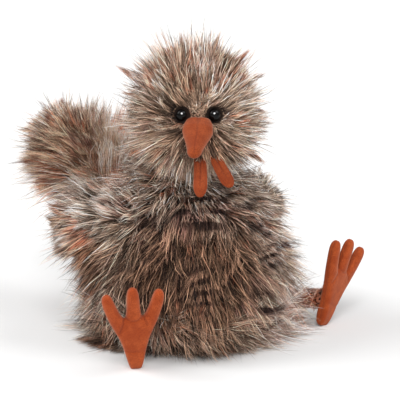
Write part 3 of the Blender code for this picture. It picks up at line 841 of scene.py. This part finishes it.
def strands(form, count, seed, style):
    """Paths of strands over a form, (n, 4, 3), with their roots, normals, tints and places on the form."""
    rng = np.random.default_rng(seed)
    number = np.arange(count)
    cell = 1 / math.sqrt(count)
    around = (number * GOLDEN + rng.uniform(-ROOT_JITTER, ROOT_JITTER, count) * cell + seed * SEED_TURN) % 1
    share = np.clip((number + 0.5) / count + rng.uniform(-ROOT_JITTER, ROOT_JITTER, count) * cell, 0, 1)
    root, normal, away = form.at(around, share)
    kept = style["keep"](root)
    root, normal, away, around, share = (a[kept] for a in (root, normal, away, around, share))
    count = len(root)

    # How each strand turns, bends, lifts and how long it is, by itself and with its locks and tufts
    lie, nominal, lean_root, lean_tip = style["comb"](root, normal, away)
    swirl = drift(root, SWIRL[0], seed + 50) * SWIRL[1] + rng.normal(0, SWIRL[2], count)
    bend = rng.normal(0, BEND, count)
    stray = rng.random(count) < STRAYS[0]
    least, spread, rise, fall = LENGTHS
    length = nominal * (least + spread * rng.beta(rise, fall, count))
    length = length * np.where(stray, style["stray"] * STRAYS[1], 1)
    lift = rng.normal(0, LIFT[2], count) + drift(root, LIFT[0], seed + 60) * LIFT[1] - stray * STRAYS[2]
    tints, levels = [], []
    for size, turn, tilt, growth, pull in LOCK_LEVELS:
        spacing = style["tuft"] * size
        guides = rng.choice(count, min(max(int(form.area / spacing ** 2), 8), count // 3), replace=False)
        owner = nearest(root, root[guides])
        each = len(guides)
        swirl = swirl + rng.normal(0, turn, each)[owner]
        bend = bend + rng.normal(0, turn * 1.5, each)[owner]
        lift = lift + rng.normal(0, tilt, each)[owner]
        length = length * rng.uniform(1 - growth, 1 + growth, each)[owner]
        tints.append(rng.random(each)[owner])
        levels.append((guides, owner, pull))
    length = np.minimum(length, nominal * np.where(stray, style["stray"], style["reach"]))

    # The path, leaning more and more towards the lie
    lie = turned_about(tangent(lie, normal), normal, swirl)
    path = np.empty((count, 4, 3))
    path[:, 0] = root - normal * ROOT_SINK
    for k, step in enumerate(np.diff(STATIONS)):
        s = STATIONS[k] + step / 2
        lean = lean_root + (lean_tip - lean_root) * s + lift * (0.4 + s)
        lean = np.radians(np.clip(lean, *LEANS))[:, None]
        heading = normal * np.cos(lean) + turned_about(lie, normal, bend * s) * np.sin(lean)
        path[:, k + 1] = path[:, k] + heading * (step * length[:, None])

    # Strands draw together into locks, then tufts, then spikes
    pull_shape = PULL_SHAPE[None, :, None]
    loose = np.where(stray, STRAYS[3], 1.0)[:, None, None]
    for guides, owner, pull in levels:
        apart = (root - root[guides][owner])[:, None, :] * 0.4 * (1 - min(pull * 1.5, 0.8))
        path = path + (path[guides][owner] + apart - path) * pull_shape * pull * loose
    for base, tip, radius in style["spikes"]:
        base, tip = np.array(base) * MM, np.array(tip) * MM
        gathered = 1 - smooth(*SPIKE_EDGE, size_of(root - base) / (radius * MM))
        reached = STATIONS[None, :, None] * rng.uniform(*SPIKE_LENGTHS, count)[:, None, None]
        drawn = pull_shape * gathered[:, None, None] * SPIKE_PULL
        path = path + (base + (tip - base) * reached - path) * drawn
        tints[1] = np.where(gathered > 0.3, tints[1] * style["spike_tint"], tints[1])
    path = path + rng.normal(0, 1, (count, 4, 3)) * FRIZZ
    streak = STREAKS[0] * tints[2] + STREAKS[1] * rng.beta(*STREAKS[2:], count)
    return {"path": path, "root": root, "normal": normal, "reach": length / nominal, "rng": rng,
            "clump": (tints[0] + tints[1]) / 2, "tint": tints[1], "streak": streak,
            "uv": np.stack((around, share), -1)}


def strand_points(made):
    """The points of each flat tapered strand: two at each station and one at the tip."""
    path, rng = made["path"], made["rng"]
    count = len(path)
    heading = np.empty_like(path)
    heading[:, 0] = path[:, 1] - path[:, 0]
    heading[:, 1:3] = path[:, 2:] - path[:, :2]
    heading[:, 3] = path[:, 3] - path[:, 2]
    heading = unit(heading)[:, :3]
    flat = unit(np.cross(heading, made["normal"][:, None, :]))
    roll = rng.uniform(-STRAND_ROLL, STRAND_ROLL, count)[:, None, None]
    across = flat * np.cos(roll) + np.cross(flat, heading) * np.sin(roll)
    across = across * (STRAND_WIDTH / 2 * rng.uniform(0.75, 1.25, count)[:, None] * STRAND_TAPER)[..., None]
    points = np.empty((count, STRAND_POINTS, 3), np.float32)
    points[:, 0:6:2] = path[:, :3] - across
    points[:, 1:6:2] = path[:, :3] + across
    points[:, 6] = path[:, 3]
    return points


def ribbons(name, made, material):
    """A mesh of the strands, five triangles each, with their texture patches, markings, painted shade and
    painted light.
    """
    path, root = made["path"], made["root"]
    count = len(path)
    mesh = bpy.data.meshes.new(name)
    mesh.vertices.add(count * STRAND_POINTS)
    mesh.vertices.foreach_set("co", strand_points(made).ravel())
    number = np.arange(count)[:, None]
    corners = (number * STRAND_POINTS + STRAND_CORNERS).astype(np.int32)
    mesh.loops.add(corners.size)
    mesh.loops.foreach_set("vertex_index", corners.ravel())
    starts = (number * len(STRAND_CORNERS) + STRAND_STARTS).astype(np.int32)
    mesh.polygons.add(starts.size)
    mesh.polygons.foreach_set("loop_start", starts.ravel())
    mesh.update(calc_edges=True)
    mesh.polygons.foreach_set("use_smooth", np.ones(starts.size, bool))
    stations = np.repeat(STATIONS, 2)[:STRAND_POINTS]
    patch = np.stack((STRAND_SIDES, stations), -1) * PATCH
    uv = (made["uv"][:, None, :] * (1 - PATCH) + patch[None])[:, STRAND_CORNERS]
    mesh.uv_layers.new(name="OFBake").data.foreach_set("uv", uv.astype(np.float32).ravel())

    def for_points(values):
        """Values at the four stations, for the points of each strand."""
        return np.repeat(values.reshape(-1, 4), 2, axis=1)[:, :STRAND_POINTS]

    # Painted shade round the eyes and at the shade patches, and painted light at the glow patches, by the
    # place of each point of the strand
    flat = path.reshape(-1, 3)
    eyes = for_points(eye_painted_shade(flat))
    shade = for_points(patch_share(flat, SHADE_PATCHES))
    glow = for_points(patch_share(flat, GLOW_PATCHES))
    dark, rust, pale = dye_and_painted_light(root)
    rusty = RUSTY[0] + RUSTY[1] * rust + RUSTY[2] * drift(root, 20 * MM, 7) - made["tint"]
    set_values(mesh, {
        "fur_along": stations[None] * made["reach"][:, None],
        "fur_streak": made["streak"][:, None] * (1 - EYE_STREAK_LOSS * eyes),
        "fur_clump": np.repeat(made["clump"], STRAND_POINTS),
        "fur_dark": np.maximum(dark[:, None], np.maximum(eyes, shade)),
        "fur_pale": np.maximum(pale[:, None], glow) * (1 - eyes),
        # Painted shadow bars, by the place of each strand's third station
        "fur_bars": np.repeat(patch_share(path[:, 2], SHADOW_BAR_PATCHES), STRAND_POINTS),
        "fur_rust": np.repeat(smooth(-0.06, 0.06, rusty), STRAND_POINTS),
    })
    roots = np.repeat(root, STRAND_POINTS, axis=0) + np.array(SHIFT)
    data = mesh.attributes.new("fur_root", "FLOAT_VECTOR", "POINT").data
    data.foreach_set("vector", roots.astype(np.float32).ravel())
    return new_object(name, mesh, material)


def clear_of_face(path):
    """Combs strands off the eyes, out of the beak and behind the wattles."""
    places = in_face_frame(path)
    fore, left, up = (places[..., i] for i in range(3))
    rng = np.random.default_rng(5)
    back = EYE_MIDDLE.x - EYE_ROOM[1]
    over = (np.minimum(*eye_gaps(places)) < EYE_RADIUS + EYE_ROOM[0]) & (fore > back)
    fore[...] = np.where(over, back, fore)

    def along_line(line):
        """Forward and left of a line at each point's height. The line runs upwards."""
        return np.interp(up, line[:, 2], line[:, 0]), np.interp(up, line[:, 2], line[:, 1])

    s = np.linspace(1, 0, 20)
    line = np.array([BEAK_ROOT.lerp(BEAK_TIP, share) for share in s])
    fore_at, left_at = along_line(line)
    half = 0.5 * MM * np.interp(up, line[:, 2], at(s, BEAK_WIDTHS))
    inside = (np.abs(left - left_at) < half) & (up > line[0, 2] + BEAK_BARE[0]) & (up < BEAK_BARE[1])
    fore[...] = np.where(inside, np.minimum(fore, fore_at), fore)
    s = np.linspace(1, 0, 40)
    room_beside, room_behind, room_below = WATTLE_ROOM
    cover_above, cover_behind, cover_before = WATTLE_COVER
    for ends in WATTLE_PATHS.values():
        line = bowed(*(np.array(p) for p in ends), s[:, None])[0]
        fore_at, left_at = along_line(line)
        half = 0.5 * MM * np.interp(up, line[:, 2], at(s, WATTLE_WIDTHS))
        beside = np.abs(left - left_at) < half + room_beside
        behind = fore_at - room_behind
        clear = WATTLE_CLEAR - rng.uniform(*WATTLE_RAGGED, (len(path), 1)) * MM
        front = beside & (fore > behind) & (up < clear) & (up > line[:, 2].min() - room_below)
        fore[...] = np.where(front, behind, fore)
        over = beside & (up > clear) & (up < line[-1, 2] + cover_above) & (fore > fore_at - cover_behind)
        over[:, 0] = False
        fore[...] = np.where(over, np.maximum(fore, fore_at + cover_before), fore)
    return places @ FACE_BASIS + np.array(HEAD_CENTRE)


def clear_of_feet(path):
    """Combs strands behind the feet."""
    for name, side in SIDES:
        matrix = foot_matrix(name, side)
        turn, origin = np.array(matrix.to_3x3()), np.array(matrix.translation)
        local = (path - origin) @ turn
        x, y, z = (local[..., i] for i in range(3))
        inside = (np.abs(x) < at(z / MM, FOOT_ROOM) * MM) & (z > FOOT_HEIGHTS[0]) & (z < FOOT_HEIGHTS[1])
        inside &= (y > FOOT_REACH[0]) & (y < FOOT_REACH[1])
        local[..., 1] = np.where(inside, FOOT_REACH[1], y)
        path = local @ turn.T + origin
    return path


def on_floor(path, rng):
    least = FLOOR_ROOM[0] + rng.uniform(0, FLOOR_ROOM[1], path.shape[:2]) * MM
    path[..., 2] = np.maximum(path[..., 2], least)
    return path


def within(centre, radius):
    centre = np.array(centre)
    return lambda points: size_of(points - centre) < radius


def in_egg(centre, axis, size):
    axis, centre = np.array(axis.normalized()), np.array(centre)

    def test(points):
        offset = points - centre
        along = offset @ axis
        out = size_of(offset - along[:, None] * axis)
        return (out / size[0]) ** 2 + (along / size[1]) ** 2 < 1
    return test


def in_torso(points):
    height = points[:, 2] - TORSO_WAIST_Z
    across = np.hypot(points[:, 0], points[:, 1]) / TORSO_RADIUS
    return across ** 2 + (height / np.where(height > 0, TORSO_UPPER, TORSO_LOWER)) ** 2 < 1


def style_of(keep, comb, tuft, reach, stray, spikes=(), spike_tint=1.0):
    """How a form is combed: tuft size in millimetres, and most length of plain and of stray strands."""
    return {"keep": keep, "comb": comb, "tuft": tuft * MM, "reach": reach, "stray": stray, "spikes": spikes,
            "spike_tint": spike_tint}


def torso_style():
    covered = [within(HEAD_CENTRE, HEAD_RADIUS), in_egg(TAIL_CENTRE, TAIL_AXIS, TAIL_SKIN)]
    covered += [in_egg(mirrored(WING_CENTRE, side), mirrored(WING_AXIS, side), WING_SKIN)
                for _, side in SIDES]
    right, above = np.array(sideways(CAMERA_AZIMUTH)), np.array((0, 0, 1))

    def keep(root):
        neck = (np.hypot(root[:, 0], root[:, 1]) < NECK_RADIUS * 0.7) & (root[:, 2] > TORSO_WAIST_Z)
        return ~neck & ~np.any([test(root) for test in covered], axis=0)

    def comb(root, normal, away):
        """Hangs down over the body, and lies outwards on the floor, swept to the picture's right."""
        z = root[:, 2] / MM
        hanging = smooth(6, 58, z)
        low = 1 - smooth(6, 19, z)
        down = hanging[:, None]
        radial = unit(root * (1, 1, 0))
        across = radial @ right
        swept = smooth(-0.5, 0.1, across) * (1 - smooth(12, 55, z))
        lie = away * down + (radial + above * (0.25 - 0.9 * low[:, None])) * (1 - down)
        lie = lie + right * 0.5 * swept[:, None]
        skirt = 18 * smooth(0.25, 0.7, np.abs(across)) * (1 - smooth(7, 19, z))
        waist = 8 * smooth(0.4, 0.9, -across) * smooth(10, 22, z) * (1 - smooth(45, 65, z))
        shoulder = 10 * smooth(0.3, 0.8, across) * smooth(60, 85, z)
        length = 34 + 15 * smooth(2, 30, z) + skirt - waist - shoulder
        return lie, length * MM, 36 + 6 * hanging - 14 * low, 62 + 12 * hanging - 24 * low
    return style_of(keep, comb, 3.4, 0.98, 1.08, TORSO_SPIKES)


def head_style():
    middle = np.array(face_vector(FACE_MIDDLE).normalized())

    def keep(root):
        places = in_face_frame(root)
        under_eye = (np.minimum(*eye_gaps(places)) < EYE_RADIUS) & (places[:, 0] > 0)
        return ~under_eye & ~in_torso(root)

    def comb(root, normal, away):
        """Lies flat on the face and stands in the mane, longer at the chin and shorter beside the face."""
        outward = unit(root - np.array(HEAD_CENTRE))
        angle = np.degrees(np.arccos(np.clip(outward @ middle, -1, 1)))
        chin = smooth(0.15, 0.55, -(outward @ np.array(FACE_UP))) * smooth(64, 34, angle)
        beside = smooth(0.45, 0.9, np.abs(outward @ np.array(FACE_LEFT))) * smooth(60, 90, angle)
        length = at(angle, HEAD_LENGTHS) + 15 * chin + 2 * smooth(0.3, 0.95, outward[:, 2]) - 8 * beside
        return away, length * MM, at(angle, HEAD_LEANS) - 26 * chin, at(angle, HEAD_LEANS, 2) - 20 * chin
    return style_of(keep, comb, 3.0, 1.08, 1.32, HEAD_SPIKES, 0.12)


def tail_style():
    axis = np.array(TAIL_AXIS.normalized())
    toward = np.array((HEAD_CENTRE - TAIL_CENTRE).normalized())

    def keep(root):
        return ~in_torso(root) & ~within(HEAD_CENTRE, HEAD_RADIUS)(root)

    def comb(root, normal, away):
        """Follows the tail, fluffed out towards the head and downwards, and shorter on top."""
        end = np.clip((root - np.array(TAIL_CENTRE)) @ axis / TAIL_SKIN[1], -1, 1)
        outward = unit(root - np.array(TAIL_CENTRE))
        inner = smooth(0.1, 0.8, outward @ toward)
        lower = smooth(0.2, 0.85, outward @ np.array(TAIL_LOWER.normalized()))
        length = at(end, TAIL_LENGTHS) - 9 * smooth(0.3, 0.9, outward[:, 2]) + 6 * inner + 3 * lower
        lean_root = at(end, TAIL_LEANS) - 8 * inner - 10 * lower
        lean_tip = at(end, TAIL_LEANS, 2) - 18 * inner - 26 * lower
        return np.broadcast_to(axis, root.shape), length * MM, lean_root, lean_tip
    return style_of(keep, comb, 3.2, 1.1, 1.36, TAIL_SPIKES, 0.6)


def wing_style(side):
    lie = np.array(mirrored(WING_AXIS, side) + mirrored(WING_OUT, side) * 0.5 + Vector((0, 0, -0.2)))
    full = 39 if side > 0 else 43

    def comb(root, normal, away):
        """Follows the wing and hangs a little, with the left wing's top kept short and flat."""
        up = smooth(-0.2, 0.7, normal[:, 2]) * (side > 0)
        return np.broadcast_to(lie, root.shape), (full - 14 * up) * MM, 36 + 18 * up, 66 + 12 * up
    return style_of(lambda root: ~in_torso(root), comb, 3.2, 1.0, 1.1, WING_SPIKES)


def leg_style(side_name, side):
    ankle = leg_ends(side_name, side)[1]

    def keep(root):
        return ~in_torso(root) & ~within(ankle, 7 * MM)(root)

    def comb(root, normal, away):
        """Short pile that lies towards the foot."""
        return (-away, *(np.full(len(root), value) for value in LEG_PILE))
    return style_of(keep, comb, 2.4, 1.0, 1.08)


def make_coat(forms):
    material = fur_material()
    styles = {"head": head_style(), "torso": torso_style(), "tail": tail_style()}
    plans = [("coat_%s_%s" % (part, mark), part, count, seed + i, styles[part])
             for part, marks, count, seed in COATS for i, mark in enumerate(marks)]
    for name, side in SIDES:
        for part, (count, seed), style in (("wing_", WING_COAT, wing_style(side)),
                                           ("leg_", LEG_COAT, leg_style(name, side))):
            plans.append(("coat_" + part + name, part + name, count, seed + side, style))
    for name, part, count, seed, style in plans:
        made = strands(forms[part], count, seed, style)
        path = made["path"]
        if part in ("head", "torso"):
            path = clear_of_face(path)
        if part.startswith(("torso", "leg")):
            path = clear_of_feet(path)
        made["path"] = on_floor(path, made["rng"])
        finish_piece(ribbons(name, made, material))


# Suedette pieces and eyes


def rounding(s, start):
    return math.sqrt(max(1 - (max(s - start, 0) / (1.004 - start)) ** 2, 0.004))


def closing(count, power):
    """Shares of a length that lie closer towards its end."""
    return 1 - (1 - np.linspace(0, 1, count)) ** power


def flat_axes(along):
    """Across to the face's left and out of the face, square to a direction."""
    along, left = unit(along), np.array(FACE_LEFT)
    across = unit(left - along * (left @ along))
    return across, np.cross(along, across)


def make_beak(material):
    """A stuffed cone, widest under the brow, sewn down its middle, with a round tip."""
    root, tip = (np.array(face_point(place)) for place in (BEAK_ROOT, BEAK_TIP))
    across, out = flat_axes(tip - root)
    seam_width, seam_depth, seam_dark = BEAK_SEAM
    *spread, count = BEAK_RINGS
    rings, groove_shades = [], []
    for s in closing(*spread):
        close = rounding(s, BEAK_ROUND) * MM / 2
        wide, deep = at(s, BEAK_WIDTHS) * close, at(s, BEAK_DEPTHS) * close
        x, y = (np.copysign(np.abs(v) ** at(s, BEAK_SQUARE), v) for v in circle(count))
        seam = bell(x * wide, seam_width) * (y > 0) * min(1, (1 - s) * 8)
        sunk = 1 - seam_depth * seam / max(deep, 1 * MM)
        centre = root + (tip - root) * s + across * (BEAK_LEAN * s * s)
        rings.append(centre + np.outer(wide * x, across) + np.outer(deep * y * sunk, out))
        # Painted shade along the seam
        groove_shades.append(seam * seam_dark)
    return ringed_object("beak_suedette", rings, material, groove_shades)


def make_wattle(name, material):
    """A flat sewn teardrop with a crease down its front and a seam round its edge."""
    path = [np.array(face_point(point)) for point in WATTLE_PATHS[name]]
    *spread, count = WATTLE_RINGS
    rings, groove_shades = [], []
    for s in closing(*spread):
        centre, along = bowed(*path, s)
        across, out = flat_axes(along)
        close = rounding(s, WATTLE_ROUND) / 2
        half, thick = at(s, WATTLE_WIDTHS) * MM * close, WATTLE_THICK * close
        x, y = circle(count)
        x = x * half
        crease = bell(x, WATTLE_CREASE[0]) * math.sin(math.pi * min(s * 1.15, 1)) ** 0.5
        edge = bell(np.abs(x) - half + WATTLE_SEAM_INSET, WATTLE_SEAM[0])
        sunk = 1 - WATTLE_CREASE[1] * crease - WATTLE_SEAM[1] * edge
        rings.append(centre + np.outer(x, across) + np.outer(thick * y * sunk, out))
        # Painted shade in the crease and the edge seam
        groove_shades.append(np.minimum(1, WATTLE_CREASE[2] * crease + WATTLE_SEAM[2] * edge))
    return ringed_object(name + "_suedette", rings, material, groove_shades)


def foot_net():
    """The foot's flat net: a sole of rows with three toes on its upper edge."""
    bm = bmesh.new()
    grid = []
    for z, inner, outer in FOOT_ROWS:
        grid.append([bm.verts.new((x * MM, 0, z * MM)) for x in (-outer, -inner, inner, outer)])
    for lower, upper in zip(grid, grid[1:]):
        for i in range(3):
            bm.faces.new((lower[i], lower[i + 1], upper[i + 1], upper[i]))
    right_toe = tuple((-OUTER_TOE[i][0], OUTER_TOE[i][1]) for i in (1, 0, 3, 2))
    for i, toe in enumerate((right_toe, MIDDLE_TOE, OUTER_TOE)):
        edge = grid[-1][i:i + 2]
        for pair in (toe[:2], toe[2:]):
            upper = [bm.verts.new((x * MM, 0, z * MM)) for x, z in pair]
            bm.faces.new((edge[0], edge[1], upper[1], upper[0]))
            edge = upper
    return bm


def make_foot(side_name, side, material):
    """A stuffed three-toed foot with a sewn arc, creases and an edge seam pressed into it."""
    foot = object_from_bm("foot_%s_suedette" % side_name, foot_net(), material)
    modify(foot, "SOLIDIFY", thickness=FOOT_THICK, offset=0)
    modify(foot, "SUBSURF", levels=4, render_levels=4)
    apply_modifiers(foot)
    points = vertex_array(foot.data)
    groove_shade = np.zeros(len(points))
    s = np.linspace(0, 1, 40)[:, None]
    for start, end, sag, width, depth in SOLE_LINES:
        line = (start + np.subtract(end, start) * s - np.sin(np.pi * s) * (0, sag)) * MM
        gap = size_of(points[:, None, ::2] - line[None]).min(1)
        points[:, 1] -= np.sign(points[:, 1]) * bell(gap, width * MM) * depth * MM
        # Painted shade in the sewn line
        groove_shade = np.maximum(groove_shade, bell(gap, width * 0.6 * MM) * min(depth, 0.5))
    seam = bell(points[:, 1], FOOT_SEAM[0])
    points -= vertex_array(foot.data, "normal") * (seam * FOOT_SEAM[1])[:, None]
    # Painted shade in the sewn lines and the edge seam
    set_values(foot.data, {"groove_shade": np.maximum(groove_shade, seam * FOOT_SEAM[2])})
    matrix = foot_matrix(side_name, side)
    points = points @ np.array(matrix.to_3x3()).T + np.array(matrix.translation)
    points[:, 2] += -points[:, 2].min() - HEEL_FLAT_SINK
    points[:, 2] = np.maximum(points[:, 2], 0)
    set_vertices(foot.data, points)
    return foot


def make_eye(name, side, material):
    """A domed button eye: a round front on a narrow rim."""
    profile = [(math.sin(a), math.cos(a)) for a in np.linspace(0.02, math.pi * 0.5, 18)] + EYE_RIM
    turn = turn_to(FACE_FORWARD, FACE_LEFT)
    rings = [ring_at(radius * EYE_RADIUS, height * EYE_RADIUS, 48, turn, face_point(eye_place(side)))
             for radius, height in profile]
    return ringed_object(name + "_button", rings, material)


# Stage


def add_placed(name, data, turn):
    obj = bpy.data.objects.new(name, data)
    obj.rotation_mode = "QUATERNION"
    obj.rotation_quaternion = turn
    bpy.context.scene.collection.objects.link(obj)
    return obj


def make_stage(eyes):
    """Floor and soft lights, with a catch light that only the eyes reflect."""
    nodes = Nodes("floor")
    tint = nodes.mix(nodes.noise(nodes.here(), 3), *((shade, shade, shade, 1) for shade in FLOOR_SHADES))
    bm = bmesh.new()
    bmesh.ops.create_grid(bm, x_segments=8, y_segments=8, size=4)
    object_from_bm("floor", bm, nodes.shade({"Base Color": tint, "Roughness": 0.9}))
    world = bpy.data.worlds.new("studio")
    world.use_nodes = True
    background = world.node_tree.nodes["Background"]
    background.inputs["Color"].default_value = (1, 1, 1, 1)
    background.inputs["Strength"].default_value = WORLD_STRENGTH
    bpy.context.scene.world = world
    for name, (azimuth, elevation, strength, softness) in SUNS.items():
        light = bpy.data.lights.new(name, "SUN")
        light.energy = strength
        light.angle = math.radians(softness)
        sun = add_placed(name, light, (-direction(azimuth, elevation)).to_track_quat("-Z", "Y"))
        if name == "catch":
            sun.light_linking.receiver_collection = eyes
    bpy.context.scene.view_settings.view_transform = "Standard"


def make_camera():
    camera = bpy.data.cameras.new("camera")
    camera.sensor_width = SENSOR
    camera.lens = SENSOR * FOCAL_PIXELS / FRAME_PIXELS
    camera.clip_start = 0.05
    camera.clip_end = 20
    back, right = direction(CAMERA_AZIMUTH, CAMERA_ELEVATION), sideways(CAMERA_AZIMUTH)
    up = back.cross(right)
    obj = add_placed("camera", camera, Matrix((right, up, back)).transposed().to_quaternion())
    obj.location = (SHIFT + CAMERA_AIM + back * CAMERA_DISTANCE
                    + right * CAMERA_OFFSET[0] + up * CAMERA_OFFSET[1])
    bpy.context.scene.camera = obj


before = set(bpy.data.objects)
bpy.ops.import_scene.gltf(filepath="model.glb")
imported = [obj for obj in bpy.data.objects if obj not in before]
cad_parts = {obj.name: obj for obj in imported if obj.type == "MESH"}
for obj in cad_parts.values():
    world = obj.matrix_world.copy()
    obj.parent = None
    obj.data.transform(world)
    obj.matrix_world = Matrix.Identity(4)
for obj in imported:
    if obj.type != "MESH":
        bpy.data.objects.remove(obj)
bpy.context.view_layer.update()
eye_low, eye_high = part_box("eye_left")
SHIFT = (eye_low + eye_high) / 2 - face_point(eye_place(1))

forms = {"torso": torso_form(), "head": head_form(),
         "tail": egg_form(TAIL_CENTRE, TAIL_AXIS, Vector((1, 0, 0)), TAIL_SKIN)}
for side_name, side_sign in SIDES:
    forms["wing_" + side_name] = wing_form(side_sign)
    forms["leg_" + side_name] = leg_form(side_name, side_sign)

make_camera()
eye_collection = bpy.data.collections.new("eyes_lit")
make_stage(eye_collection)
finish_piece(make_skin(forms), forms.keys())
make_coat(forms)
# Face and feet share one suedette in two copies, toned as painted light for how the lamps fall on them
suedette = suedette_material("suedette_face", SUEDE_TONES[0])
finish_piece(make_beak(suedette), ["beak"])
for wattle_name in WATTLE_PATHS:
    finish_piece(make_wattle(wattle_name, suedette), [wattle_name])
# The feet's copy of the suedette is lighter, as painted light
suedette = suedette_material("suedette_feet", SUEDE_TONES[1])
eye_black = eye_material()
for side_name, side_sign in SIDES:
    finish_piece(make_foot(side_name, side_sign, suedette), ["foot_" + side_name])
    eye = make_eye("eye_" + side_name, side_sign, eye_black)
    finish_piece(eye, ["eye_" + side_name])
    eye_collection.objects.link(eye)
